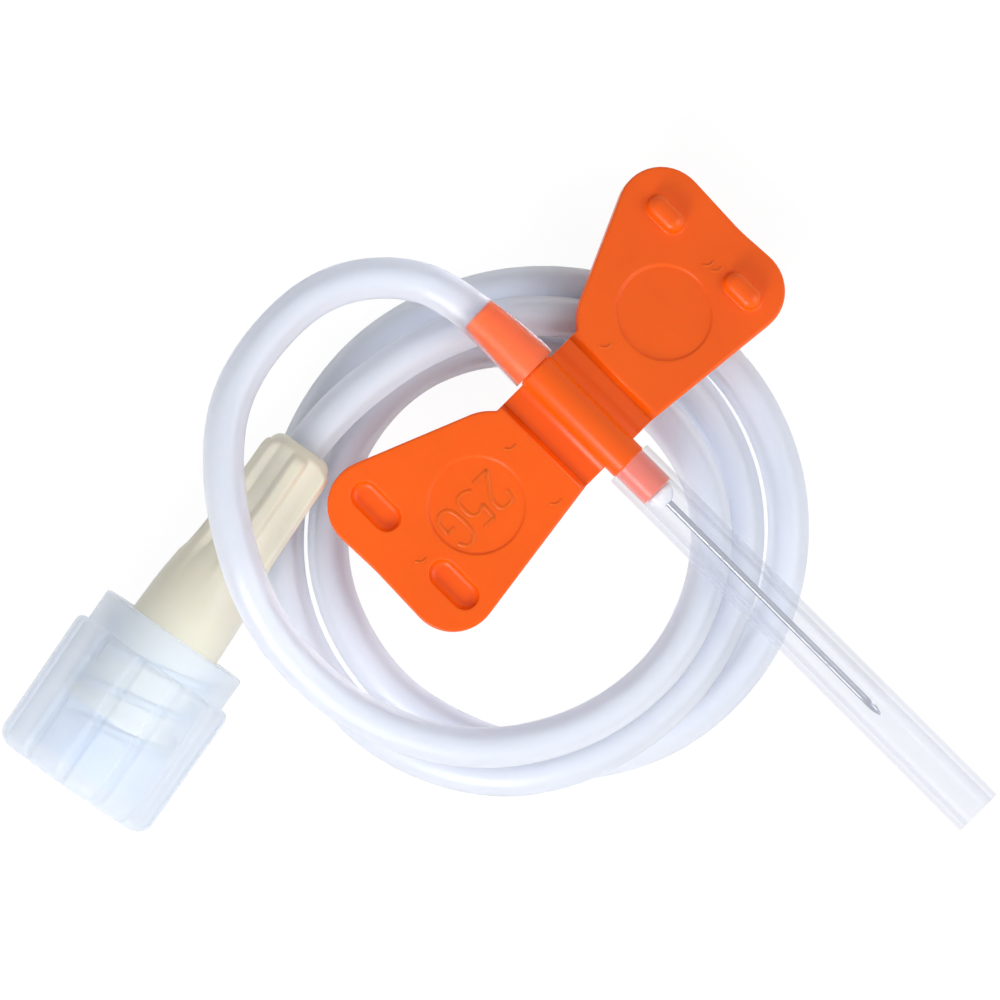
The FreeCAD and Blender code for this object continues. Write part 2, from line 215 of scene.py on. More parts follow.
def ridge_share(angle, roll, pitch, half_width, soft):
    """How far a place round the X axis lies on the nearest of even ridges, whose flanks are soft."""
    off = abs((angle - roll + pitch / 2) % pitch - pitch / 2)
    return eased(clamped((half_width + soft - off) / (2 * soft)))


def rounded(corners, steps=10, closed=True):
    """Points through (x, y, radius) corners, with a round stretch at each corner that has a radius."""
    points = []
    count = len(corners)
    for i, (x, y, radius) in enumerate(corners):
        here = Vector((x, y))
        at_end = not closed and i in (0, count - 1)
        if radius <= 0 or at_end:
            points.append(here)
            continue
        before = Vector(corners[i - 1][:2])
        after = Vector(corners[(i + 1) % count][:2])
        into = (here - before).normalized()
        out = (after - here).normalized()
        turn = math.atan2(into.x * out.y - into.y * out.x, into.dot(out))
        start = here - into * (radius * math.tan(abs(turn) / 2))
        side = math.copysign(radius, turn)
        centre = start + Vector((-into.y, into.x)) * side
        spoke = start - centre
        for step in range(steps + 1):
            points.append(centre + Matrix.Rotation(turn * step / steps, 2) @ spoke)
    return points


def anticlockwise(points):
    """The same closed outline, turned round if it runs clockwise."""
    area = sum(a.x * b.y - b.x * a.y for a, b in zip(points, points[1:] + points[:1]))
    return points if area > 0 else points[::-1]


def outset(points, distance):
    """An anticlockwise closed outline moved outwards by a distance."""
    moved = []
    for before, here, after in zip(points[-1:] + points[:-1], points, points[1:] + points[:1]):
        first = (here - before).normalized()
        second = (after - here).normalized()
        outward = Vector((first.y + second.y, -first.x - second.x)).normalized()
        square = max(outward.dot(Vector((first.y, -first.x))), 0.3)
        moved.append(here + outward * (distance / square))
    return moved


def obround(x, y, length, width, count=24):
    """A round-ended outline, long along X, as a function of how far it is moved outwards."""
    half = (length - width) / 2

    def outline(reach):
        points = []
        for end, first in ((half, -90.0), (-half, 90.0)):
            for i in range(count + 1):
                angle = math.radians(first + 180.0 * i / count)
                spoke = Vector((math.cos(angle), math.sin(angle)))
                points.append(Vector((x + end, y)) + spoke * (width / 2 + reach))
        return points

    return outline


def circle(x, y, radius, count=96):
    """A round outline, as a function of how far it is moved outwards."""
    def outline(reach):
        angles = [2 * math.pi * i / count for i in range(count)]
        return [Vector((x, y)) + Vector((math.cos(a), math.sin(a))) * (radius + reach) for a in angles]

    return outline


def quarter(steps=5):
    """Even angles over a quarter turn."""
    return [math.pi / 2 * i / steps for i in range(steps + 1)]


# Meshes


def bridge(bm, first, second):
    """Quads between two closed rings; a ring of one point is a pole."""
    count = max(len(first), len(second))
    for i in range(count):
        j = (i + 1) % count
        corners = [ring[k % len(ring)] for ring, k in ((first, i), (first, j), (second, j), (second, i))]
        bm.faces.new(list(dict.fromkeys(corners)))


def skin(bm, rings):
    """Quads from each closed ring to the next."""
    for first, second in zip(rings, rings[1:]):
        bridge(bm, first, second)


def fill(bm, outer, holes=()):
    """Triangles over a flat ring, open at its holes."""
    loops = [outer, *holes]
    corners = [v for loop in loops for v in loop]
    for triangle in tessellate_polygon([[v.co for v in loop] for loop in loops]):
        bm.faces.new([corners[i] for i in triangle])


def relief(bm, outline, steps, base):
    """A raised or sunk form by (outset, height) steps; its first ring bounds the hole in the flat face."""
    rings = [[bm.verts.new((p.x, p.y, base + height)) for p in outline(reach)] for reach, height in steps]
    skin(bm, rings)
    fill(bm, rings[-1])
    return rings[0]


def turned(bm, rows, sides, radius_at=None, closed=False):
    """The surface that a row of (place, radius) points sweeps about the X axis."""
    rings = []
    for index, (place, radius) in enumerate(rows):
        if radius < 1e-9:
            rings.append([bm.verts.new((place, 0, 0))])
            continue
        ring = []
        for i in range(sides):
            angle = 2 * math.pi * i / sides
            reach = radius_at(index, place, radius, angle) if radius_at else radius
            ring.append(bm.verts.new((place, reach * math.cos(angle), reach * math.sin(angle))))
        rings.append(ring)
    if closed:
        rings.append(rings[0])
    skin(bm, rings)


def smooth_object(name, mesh):
    """Adds a smooth-shaded object with this mesh."""
    for polygon in mesh.polygons:
        polygon.use_smooth = True
    piece = bpy.data.objects.new(name, mesh)
    bpy.context.collection.objects.link(piece)
    return piece


def finish_mesh(name, bm, material, move=None):
    """A smooth-shaded object from a bmesh, its place in its mesh and its faces outwards."""
    if move:
        bmesh.ops.transform(bm, matrix=move, verts=bm.verts)
    bmesh.ops.recalc_face_normals(bm, faces=bm.faces)
    mesh = bpy.data.meshes.new(name)
    bm.to_mesh(mesh)
    bm.free()
    mesh.materials.append(material)
    return smooth_object(name, mesh)


def plain_mesh(piece, name):
    """The evaluated object as a plain mesh object, and the old object gone."""
    evaluated = piece.evaluated_get(bpy.context.evaluated_depsgraph_get())
    mesh = bpy.data.meshes.new_from_object(evaluated)
    bpy.data.objects.remove(piece)
    return smooth_object(name, mesh)


def curve_through(name, rows, resolution):
    """Smooth open curves whose control points are these rows of points."""
    curve = bpy.data.curves.new(name, "CURVE")
    curve.dimensions = "3D"
    curve.resolution_u = resolution
    for row in rows:
        spline = curve.splines.new("NURBS")
        spline.points.add(len(row) - 1)
        for point, place in zip(spline.points, row):
            point.co = (*place, 1)
        spline.order_u = 3
        spline.use_endpoint_u = True
    line = bpy.data.objects.new(name, curve)
    bpy.context.collection.objects.link(line)
    return line


def on_connector():
    """Puts a shape made along +X from the connector's rear end onto the connector's axis."""
    length = bpy.context.scene.connector_sizes.length
    rear = connector_mouth - connector_axis * length
    heading = math.atan2(connector_axis.y, connector_axis.x)
    return Matrix.Translation(rear) @ Matrix.Rotation(heading, 4, "Z")


# Materials


def node(tree, kind, settings=None, **links):
    """Adds a node with its settings, and fills its inputs by name, _ for a space, or as i and a number."""
    made = tree.nodes.new(kind)
    for key, value in (settings or {}).items():
        setattr(made, key, value)
    for key, value in links.items():
        numbered = key[0] == "i" and key[1:].isdigit()
        socket = made.inputs[int(key[1:]) if numbered else key.replace("_", " ")]
        if isinstance(value, bpy.types.NodeSocket):
            tree.links.new(value, socket)
        else:
            socket.default_value = value
    return made


def new_material(name):
    """An empty material and its node tree."""
    material = bpy.data.materials.new(name)
    material.use_nodes = True
    material.node_tree.nodes.clear()
    return material, material.node_tree


def object_coordinates(tree, scale):
    """Object coordinates stretched by a scale, in features per metre along X, Y and Z."""
    source = node(tree, "ShaderNodeTexCoord")
    return node(tree, "ShaderNodeMapping", Vector=source.outputs["Object"], Scale=scale).outputs["Vector"]


def clear_to_shadow(tree, surface, tint, strength):
    """Light goes on through a clear piece, as a path tracer without caustics wouldn't let it."""
    rays = node(tree, "ShaderNodeLightPath")
    share = node(tree, "ShaderNodeMath", {"operation": "MULTIPLY"}, i0=rays.outputs["Is Shadow Ray"],
                 i1=strength)
    through = node(tree, "ShaderNodeBsdfTransparent", Color=(*tint, 1))
    mixed = node(tree, "ShaderNodeMixShader", i0=share.outputs[0], i1=surface, i2=through.outputs[0])
    return mixed.outputs[0]


def wing_plastic():
    """Pigmented soft PVC, injection moulded: saturated orange, satin, and thin edges pass a little light."""
    material, tree = new_material("moulded_orange_pvc")
    tint = bpy.context.scene.wing_sizes.tint
    flow = node(tree, "ShaderNodeTexNoise", Vector=object_coordinates(tree, (90, 140, 140)), Scale=1.0,
                Detail=3.0)
    shade = node(tree, "ShaderNodeMapRange", Value=flow.outputs["Fac"], From_Min=0.3, From_Max=0.7,
                 To_Min=0.93, To_Max=1.05)
    hue = node(tree, "ShaderNodeHueSaturation", Value=shade.outputs[0], Color=(*tint, 1))
    grain = node(tree, "ShaderNodeTexNoise", Vector=object_coordinates(tree, (6000, 6000, 6000)), Scale=1.0,
                 Detail=2.0)
    matt = node(tree, "ShaderNodeMapRange", Value=flow.outputs["Fac"], From_Min=0.25, From_Max=0.75,
                To_Min=0.29, To_Max=0.36)
    bump = node(tree, "ShaderNodeBump", Strength=0.10, Distance=0.02 * MM, Height=grain.outputs["Fac"])
    shader = node(tree, "ShaderNodeBsdfPrincipled", Base_Color=hue.outputs[0], Roughness=matt.outputs[0],
                  Normal=bump.outputs[0], Subsurface_Weight=0.4, Subsurface_Scale=0.7 * MM,
                  Subsurface_Radius=(1.0, 0.35, 0.1), IOR=1.52, Specular_IOR_Level=0.28)
    node(tree, "ShaderNodeOutputMaterial", Surface=shader.outputs[0])
    return material


def needle_steel():
    """Drawn and polished stainless steel: fine drawing lines run along the needle."""
    material, tree = new_material("drawn_stainless_steel")
    lines = node(tree, "ShaderNodeTexNoise", Vector=object_coordinates(tree, (300, 30000, 30000)), Scale=1.0)
    gloss = node(tree, "ShaderNodeMapRange", Value=lines.outputs["Fac"], To_Min=0.12, To_Max=0.3)
    bump = node(tree, "ShaderNodeBump", Strength=0.15, Distance=0.005 * MM, Height=lines.outputs["Fac"])
    shader = node(tree, "ShaderNodeBsdfPrincipled", Base_Color=(*colour("#A9ACB3"), 1), Metallic=1.0,
                  Roughness=gloss.outputs[0], Normal=bump.outputs[0])
    node(tree, "ShaderNodeOutputMaterial", Surface=shader.outputs[0])
    return material


def cured_adhesive():
    """UV-cured acrylic adhesive: glossy, cloudy white where it wets the nose."""
    material, tree = new_material("cured_acrylic_adhesive")
    clouds = node(tree, "ShaderNodeTexNoise", Vector=object_coordinates(tree, (1500, 1500, 1500)), Scale=1.0)
    milk = node(tree, "ShaderNodeMix", {"data_type": "RGBA"}, i0=clouds.outputs["Fac"],
                i6=(*colour("#F2F3F8"), 1), i7=(*colour("#FFFFFF"), 1))
    bump = node(tree, "ShaderNodeBump", Strength=0.3, Distance=0.05 * MM, Height=clouds.outputs["Fac"])
    shader = node(tree, "ShaderNodeBsdfPrincipled", Base_Color=milk.outputs[2], Roughness=0.22,
                  Normal=bump.outputs[0], Subsurface_Weight=0.6, Subsurface_Scale=0.6 * MM,
                  Subsurface_Radius=(1.0, 1.0, 1.0), IOR=1.5)
    node(tree, "ShaderNodeOutputMaterial", Surface=shader.outputs[0])
    return material


def sheath_plastic():
    """Extruded clear polypropylene: a cold veil, denser where the wall is seen edge on, and die lines."""
    material, tree = new_material("extruded_clear_polypropylene")
    tint = bpy.context.scene.sheath_sizes.tint
    lines = node(tree, "ShaderNodeTexNoise", Vector=object_coordinates(tree, (60, 5000, 5000)), Scale=1.0)
    gloss = node(tree, "ShaderNodeMapRange", Value=lines.outputs["Fac"], To_Min=0.08, To_Max=0.18)
    bump = node(tree, "ShaderNodeBump", Strength=0.10, Distance=0.01 * MM, Height=lines.outputs["Fac"])
    edge = node(tree, "ShaderNodeLayerWeight", Blend=0.5)
    veil = node(tree, "ShaderNodeMapRange", Value=edge.outputs["Facing"], From_Min=0.25, From_Max=0.6,
                To_Min=0.13, To_Max=0.32)
    shader = node(tree, "ShaderNodeBsdfPrincipled", Base_Color=(*tint, 1), Roughness=gloss.outputs[0],
                  Normal=bump.outputs[0], IOR=1.49, Alpha=veil.outputs[0])
    surface = clear_to_shadow(tree, shader.outputs[0], colour("#FCFDFF"), 0.97)
    node(tree, "ShaderNodeOutputMaterial", Surface=surface)
    return material


def tube_pvc():
    """Extruded soft PVC: milky and translucent, and clearer where the stub under it stretches it thin."""
    material, tree = new_material("extruded_soft_pvc")
    tint = bpy.context.scene.tube_sizes.tint
    waves = node(tree, "ShaderNodeTexNoise", Vector=object_coordinates(tree, (160, 160, 160)), Scale=1.0,
                 Detail=2.0)
    matt = node(tree, "ShaderNodeMapRange", Value=waves.outputs["Fac"], From_Min=0.3, From_Max=0.7,
                To_Min=0.29, To_Max=0.36)
    specks = node(tree, "ShaderNodeTexNoise", Vector=object_coordinates(tree, (5000, 5000, 5000)), Scale=1.0)
    bump = node(tree, "ShaderNodeBump", Strength=0.12, Distance=0.02 * MM, Height=specks.outputs["Fac"])
    slack = node(tree, "ShaderNodeAttribute", {"attribute_name": "slack"})
    clear = node(tree, "ShaderNodeMapRange", Value=slack.outputs["Fac"], To_Min=0.97, To_Max=0.48)
    # Where the bore is bonded to the stub no air lies between them, so the bore's own surface can't be seen
    bonded = node(tree, "ShaderNodeAttribute", {"attribute_name": "bonded"})
    seen = node(tree, "ShaderNodeMapRange", Value=bonded.outputs["Fac"], To_Min=1.0, To_Max=0.0)
    shader = node(tree, "ShaderNodeBsdfPrincipled", Base_Color=(*tint, 1), Roughness=matt.outputs[0],
                  Normal=bump.outputs[0], Transmission_Weight=clear.outputs[0], IOR=1.4,
                  Subsurface_Weight=0.6, Subsurface_Scale=1.0 * MM, Subsurface_Radius=(1.0, 1.0, 1.1),
                  Alpha=seen.outputs[0])
    surface = clear_to_shadow(tree, shader.outputs[0], colour("#F6F7FB"), 0.88)
    node(tree, "ShaderNodeOutputMaterial", Surface=surface)
    return material


def connector_resin():
    """Cream ABS, injection moulded: satin, faintly warm inside, its tone varying a little at random."""
    material, tree = new_material("moulded_cream_abs")
    tint = bpy.context.scene.connector_sizes.tint
    flow = node(tree, "ShaderNodeTexNoise", Vector=object_coordinates(tree, (120, 120, 120)),
                Scale=1.0, Detail=2.0)
    shade = node(tree, "ShaderNodeMapRange", Value=flow.outputs["Fac"], From_Min=0.3, From_Max=0.7,
                 To_Min=0.96, To_Max=1.03)
    hue = node(tree, "ShaderNodeHueSaturation", Value=shade.outputs[0], Color=(*tint, 1))
    grain = node(tree, "ShaderNodeTexNoise", Vector=object_coordinates(tree, (7000, 7000, 7000)), Scale=1.0)
    bump = node(tree, "ShaderNodeBump", Strength=0.10, Distance=0.02 * MM, Height=grain.outputs["Fac"])
    shader = node(tree, "ShaderNodeBsdfPrincipled", Base_Color=hue.outputs[0], Roughness=0.34,
                  Normal=bump.outputs[0], Subsurface_Weight=0.35, Subsurface_Scale=0.8 * MM,
                  Subsurface_Radius=(1.0, 0.8, 0.45), IOR=1.53)
    node(tree, "ShaderNodeOutputMaterial", Surface=shader.outputs[0])
    return material


def cap_plastic():
    """Natural polyethylene, injection moulded: frosted, bluish white, and what it covers shows through."""
    material, tree = new_material("moulded_natural_polyethylene")
    tint = bpy.context.scene.cap_sizes.tint
    flow = node(tree, "ShaderNodeTexNoise", Vector=object_coordinates(tree, (250, 250, 250)),
                Scale=1.0, Detail=2.0)
    matt = node(tree, "ShaderNodeMapRange", Value=flow.outputs["Fac"], From_Min=0.3, From_Max=0.7,
                To_Min=0.29, To_Max=0.36)
    grain = node(tree, "ShaderNodeTexNoise", Vector=object_coordinates(tree, (4000, 4000, 4000)), Scale=1.0)
    bump = node(tree, "ShaderNodeBump", Strength=0.15, Distance=0.03 * MM, Height=grain.outputs["Fac"])
    shader = node(tree, "ShaderNodeBsdfPrincipled", Base_Color=(*tint, 1), Roughness=matt.outputs[0],
                  Normal=bump.outputs[0], Transmission_Weight=0.3, IOR=1.3, Subsurface_Weight=0.6,
                  Subsurface_Scale=1.2 * MM, Subsurface_Radius=(1.0, 1.0, 1.05), Alpha=0.55)
    surface = clear_to_shadow(tree, shader.outputs[0], colour("#FAFCFF"), 0.96)
    node(tree, "ShaderNodeOutputMaterial", Surface=surface)
    return material


def white_seen(tree):
    """One for rays from the camera, and for those that gloss or clear plastic passes on."""
    rays = node(tree, "ShaderNodeLightPath")
    first = node(tree, "ShaderNodeMath", {"operation": "MAXIMUM"}, i0=rays.outputs["Is Camera Ray"],
                 i1=rays.outputs["Is Glossy Ray"])
    return node(tree, "ShaderNodeMath", {"operation": "MAXIMUM"}, i0=first.outputs[0],
                i1=rays.outputs["Is Transmission Ray"]).outputs[0]


def table_paper():
    """Matt white seamless paper: it shows white, and keeps a faint shadow under the set."""
    material, tree = new_material("white_seamless_paper")
    paper = node(tree, "ShaderNodeBsdfDiffuse", Color=(*colour("#F2F2F2"), 1))
    glow = node(tree, "ShaderNodeEmission", Strength=1.04)
    share = node(tree, "ShaderNodeMath", {"operation": "MULTIPLY"}, i0=white_seen(tree), i1=0.9)
    mixed = node(tree, "ShaderNodeMixShader", i0=share.outputs[0], i1=paper.outputs[0], i2=glow.outputs[0])
    node(tree, "ShaderNodeOutputMaterial", Surface=mixed.outputs[0])
    return material


# Tubing

# The height of the tube's axis where it lies on the table, and that of the needle's axis
ON_TABLE = 1.36
AXIS_HEIGHT = 7.5

# The route's points: bearing about the coil's centre in degrees, radius, and height over the table
COIL_CENTRE = (-4.75, -7.2)
COIL_ROUTE = [
    (166, 19.55, 7.9),
    (178, 21.4, 8.5),
    (191, 21.9, 9.2),
    (202, 22.0, 9.9),
    (212, 21.3, 10.6),
    (222, 20.4, 11.0),
    (235, 19.5, 11.0),
    (250, 18.6, 8.8),
    (272, 17.05, 7.0),
    (298, 15.35, 6.4),
    (326, 13.6, 6.3),
    (356, 12.45, 5.7),
    (26, 11.75, 4.3),
    (56, 11.6, 3.6),
    (86, 11.15, 3.1),
    (114, 11.3, 2.1),
    (144, 12.75, ON_TABLE),
    (175, 13.7, ON_TABLE),
    (206, 14.2, ON_TABLE),
    (237, 14.6, ON_TABLE),
    (268, 14.7, ON_TABLE),
    (295, 14.7, ON_TABLE),
    (323, 15.8, ON_TABLE),
    (353, 16.55, ON_TABLE),
    (24, 16.95, ON_TABLE),
    (55, 17.0, ON_TABLE),
    (86, 17.0, ON_TABLE),
    (117, 16.7, ON_TABLE),
    (148, 16.55, ON_TABLE),
    (180, 16.9, ON_TABLE),
    (212, 17.3, ON_TABLE),
    (243, 17.75, ON_TABLE),
    (273, 17.8, 1.5),
    (301, 17.05, 3.35),
    (325, 15.8, 4.5),
    (353, 14.6, 3.7),
    (24, 14.0, 2.1),
    (55, 13.9, ON_TABLE),
    (85, 13.95, 1.55),
    (115, 14.45, 3.5),
    (142, 14.4, 4.3),
    (167, 14.35, 4.6),
    (185, 14.85, 5.2),
]

# Straight runs out of the tail and into the connector, and how far the tube goes into the connector's socket
TUBE_RUN_OUT = 1.9
TUBE_RUN_IN = 1.9
TUBE_INSERTION = 2.5

# From the tube's end to the barrel, from its bore to the stub, and from the stub to where it is slack again
SLEEVE_GAP = 0.05
SLIP = 0.02 * MM
SLEEVE_RUN_OUT = 1.2 * MM


def tubing_route():
    """The tube's points from the barrel's rear shoulder to the connector's socket, in metres."""
    tail_end = hub_low.x
    rear = on_connector().translation
    points = [Vector((barrel_rear() - SLEEVE_GAP * MM, 0, 0)), Vector((tail_end - TUBE_RUN_OUT * MM, 0, 0))]
    for bearing, radius, height in COIL_ROUTE:
        angle = math.radians(bearing)
        x = COIL_CENTRE[0] + radius * math.cos(angle)
        y = COIL_CENTRE[1] + radius * math.sin(angle)
        points.append(Vector((x, y, height - AXIS_HEIGHT)) * MM)
    points.append(rear - connector_axis * TUBE_RUN_IN * MM)
    points.append(rear + connector_axis * TUBE_INSERTION * MM)
    return points


def route_curve(name):
    """A smooth open curve with the route's points as its control points."""
    line = curve_through(name, [tubing_route()], 16)
    line.data.twist_mode = "MINIMUM"
    return line


def geometry_tree(name, kind, labels):
    """A geometry nodes tree with named inputs of one kind, and the sockets that give them."""
    tree = bpy.data.node_groups.new(name, "GeometryNodeTree")
    face = tree.interface
    face.new_socket("Geometry", in_out="INPUT", socket_type="NodeSocketGeometry")
    for label in labels:
        face.new_socket(label, in_out="INPUT", socket_type=kind)
    face.new_socket("Geometry", in_out="OUTPUT", socket_type="NodeSocketGeometry")
    return tree, node(tree, "NodeGroupInput").outputs


def end_tree(tree, geometry, material):
    """Ends a geometry nodes tree in real geometry of one material."""
    real = node(tree, "GeometryNodeRealizeInstances", Geometry=geometry)
    painted = node(tree, "GeometryNodeSetMaterial", Geometry=real.outputs[0], Material=material)
    node(tree, "NodeGroupOutput", Geometry=painted.outputs[0])


def wall_tree(material):
    """Geometry nodes that wrap a curve in a tube's outer wall and bore, wider where a stub stretches it."""
    tree, inputs = geometry_tree("tube_wall", "NodeSocketFloat", (
        "Radius", "Bore radius", "Sleeve radius", "Stub end radius", "Stub base radius", "Stub length"))
    line = node(tree, "GeometryNodeResampleCurve", {"mode": "LENGTH"}, Curve=inputs["Geometry"],
                Length=0.35 * MM)
    along = node(tree, "GeometryNodeSplineParameter").outputs["Length"]
    past_stub = node(tree, "ShaderNodeMath", {"operation": "ADD"}, i0=inputs["Stub length"],
                     i1=SLEEVE_RUN_OUT)
    outer_radius = node(tree, "ShaderNodeMapRange", {"interpolation_type": "SMOOTHSTEP"}, Value=along,
                        From_Min=0.0, From_Max=past_stub.outputs[0], To_Min=inputs["Sleeve radius"],
                        To_Max=inputs["Radius"])
    on_stub = node(tree, "ShaderNodeMapRange", Value=along, From_Min=0.0, From_Max=inputs["Stub length"],
                   To_Min=inputs["Stub base radius"], To_Max=inputs["Stub end radius"])
    beyond = node(tree, "ShaderNodeMapRange", {"interpolation_type": "SMOOTHSTEP"}, Value=along,
                  From_Min=inputs["Stub length"], From_Max=past_stub.outputs[0], To_Min=0.0, To_Max=1.0)
    inner_radius = node(tree, "ShaderNodeMix", i0=beyond.outputs[0], i2=on_stub.outputs[0],
                        i3=inputs["Bore radius"])
    ring = node(tree, "GeometryNodeCurvePrimitiveCircle", Resolution=36, Radius=1.0)
    held = node(tree, "ShaderNodeMath", {"operation": "SUBTRACT"}, i0=1.0, i1=beyond.outputs[0])
    marked = node(tree, "GeometryNodeStoreNamedAttribute", Geometry=line.outputs[0], Name="slack",
                  Value=beyond.outputs[0])
    outer = node(tree, "GeometryNodeCurveToMesh", Curve=marked.outputs[0], Profile_Curve=ring.outputs[0],
                 Scale=outer_radius.outputs[0], Fill_Caps=True)
    # The bore stops just short of the tube's two ends, so that its lids lie inside the outer ones
    short = node(tree, "GeometryNodeTrimCurve", {"mode": "FACTOR"}, Curve=marked.outputs[0], i2=0.0006,
                 i3=0.9994)
    wetted = node(tree, "GeometryNodeStoreNamedAttribute", Geometry=short.outputs[0], Name="bonded",
                  Value=held.outputs[0])
    inner = node(tree, "GeometryNodeCurveToMesh", Curve=wetted.outputs[0], Profile_Curve=ring.outputs[0],
                 Scale=inner_radius.outputs[0], Fill_Caps=True)
    inward = node(tree, "GeometryNodeFlipFaces", Mesh=inner.outputs[0])
    join = tree.nodes.new("GeometryNodeJoinGeometry")
    tree.links.new(outer.outputs[0], join.inputs[0])
    tree.links.new(inward.outputs[0], join.inputs[0])
    smooth = node(tree, "GeometryNodeSetShadeSmooth", Geometry=join.outputs[0])
    end_tree(tree, smooth.outputs[0], material)
    return tree


def give_inputs(modifier, values):
    """Sets a geometry nodes modifier's inputs by the names of their sockets."""
    for item in modifier.node_group.interface.items_tree:
        if item.item_type == "SOCKET" and item.name in values:
            modifier[item.identifier] = values[item.name]


def spline_points(line):
    """The points that a curve without a bevel passes through."""
    mesh = bpy.data.meshes.new_from_object(line.evaluated_get(bpy.context.evaluated_depsgraph_get()))
    points = [v.co.copy() for v in mesh.vertices]
    bpy.data.meshes.remove(mesh)
    return points


def make_tubing():
    """The coiled tube, hollow from end to end, with its first stretch opened over the hub's tail."""
    sizes = bpy.context.scene.tube_sizes
    line = route_curve("tube_route")
    path = spline_points(line)
    modifier = line.modifiers.new("wall", "NODES")
    modifier.node_group = wall_tree(tube_pvc())
    give_inputs(modifier, {
        "Radius": sizes.diameter / 2,
        "Bore radius": sizes.bore / 2,
        "Sleeve radius": sizes.sleeve_diameter / 2,
        "Stub end radius": sizes.tail_diameter / 2 + SLIP,
        "Stub base radius": sizes.base_diameter / 2 + SLIP,
        "Stub length": TAIL_LENGTH * MM,
    })
    tube = plain_mesh(line, "soft_tube")
    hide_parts("tubing")
    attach(tube, HUB_BODY)
    length = sum((b - a).length for a, b in zip(path, path[1:]))
    return tube, path, length


# Hub and wings


def make_hub():
    """Barrel, tail stub and nose, turned on one axis."""
    sizes = bpy.context.scene.tube_sizes
    barrel_radius = hub_high.z
    rear = barrel_rear()
    front = rear + BARREL_LENGTH * MM
    nose_radius = 1.2 * MM
    lumen = 0.45 * MM
    rows = rounded([
        (hub_low.x, lumen, 0),
        (hub_low.x, sizes.tail_diameter / 2, 0.12 * MM),
        (rear, sizes.base_diameter / 2, 0.03 * MM),
        (rear, barrel_radius, 0.15 * MM),
        (front, barrel_radius, 0.16 * MM),
        (front + 0.1 * MM, nose_radius, 0.05 * MM),
        (hub_high.x, nose_radius, 0.1 * MM),
        (hub_high.x, lumen, 0),
    ], steps=6)
    bm = bmesh.new()
    turned(bm, [(p.x, p.y) for p in rows], ROUND_SIDES, closed=True)
    hub = finish_mesh("hub_barrel", bm, bpy.data.materials["moulded_orange_pvc"])
    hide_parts("hub")
    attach(hub, HUB_BODY)


def drooped(droop):
    """Turns a wing on the +Y side about its hinge line, down by its droop."""
    hinge = Matrix.Translation((0, hinge_reach, hinge_height))
    return hinge @ Matrix.Rotation(-droop, 4, "X") @ hinge.inverted()


def bend_to(droop, start, end, point):
    """Turns a point about the hinge line by as much of the droop as its distance from the axis asks."""
    share = eased(clamped((point.y - start) / (end - start)))
    hinge = Vector((0, hinge_reach, hinge_height))
    return hinge + Matrix.Rotation(-droop * share, 3, "X") @ (point - hinge)


def make_web(name, side, droop):
    """The thin hinge web between barrel and plate, dished along its middle."""
    sizes = bpy.context.scene.wing_sizes
    rear = barrel_rear() + sizes.neck_setback
    length = sizes.neck_length
    under = wing_low.z
    # It runs from inside the barrel to inside the plate, and bends over a short stretch at the hinge line
    inner = 1.1 * MM
    outer = sizes.slope_start + 0.25 * MM
    bend_start = hinge_reach - 0.25 * MM
    bend_end = hinge_reach + 0.15 * MM
    # The upper face rises to the barrel; inside the plate the web thins a little, so that it doesn't show
    root_rise = 0.42 * MM
    end_thinning = 0.08 * MM
    end_lift = 0.02 * MM
    rows = 24
    upper = []
    lower = []
    for i in range(rows + 1):
        y = inner + (outer - inner) * i / rows
        near = clamped((bend_start - y) / (bend_start - inner))
        far = clamped((y - sizes.slope_start) / (outer - sizes.slope_start))
        rise = root_rise * near * near - end_thinning * far
        upper.append(Vector((0, y, under + sizes.web_thickness + rise)))
        lower.append(Vector((0, y, under + end_lift * far)))
    section = [bend_to(droop, bend_start, bend_end, p) for p in upper + lower[::-1]]
    # Both ends are rounded over an edge: how far in, and what share of the section's height stands there
    edge = 0.08 * MM
    rounding = ((0.0, 0.82), (edge * 0.3, 0.94), (edge, 1.0))
    stations = [(rear + inset, shrink) for inset, shrink in rounding]
    stations += [(rear + length - inset, shrink) for inset, shrink in rounding[::-1]]
    centre = under + sizes.web_thickness / 2
    bm = bmesh.new()
    rings = []
    for place, shrink in stations:
        rings.append([bm.verts.new((place, p.y, centre + (p.z - centre) * shrink)) for p in section])
    skin(bm, rings)
    fill_end(bm, rings[0], rows)
    fill_end(bm, rings[-1], rows)
    web = finish_mesh(name, bm, bpy.data.materials["moulded_orange_pvc"],
                      Matrix.Scale(side, 4, (0, 1, 0)))
    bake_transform(web)


def fill_end(bm, ring, rows):
    """Quads across the end of a strip whose ring runs out along its top and back along its underside."""
    count = len(ring)
    for i in range(rows):
        bm.faces.new((ring[i], ring[i + 1], ring[count - 2 - i], ring[count - 1 - i]))


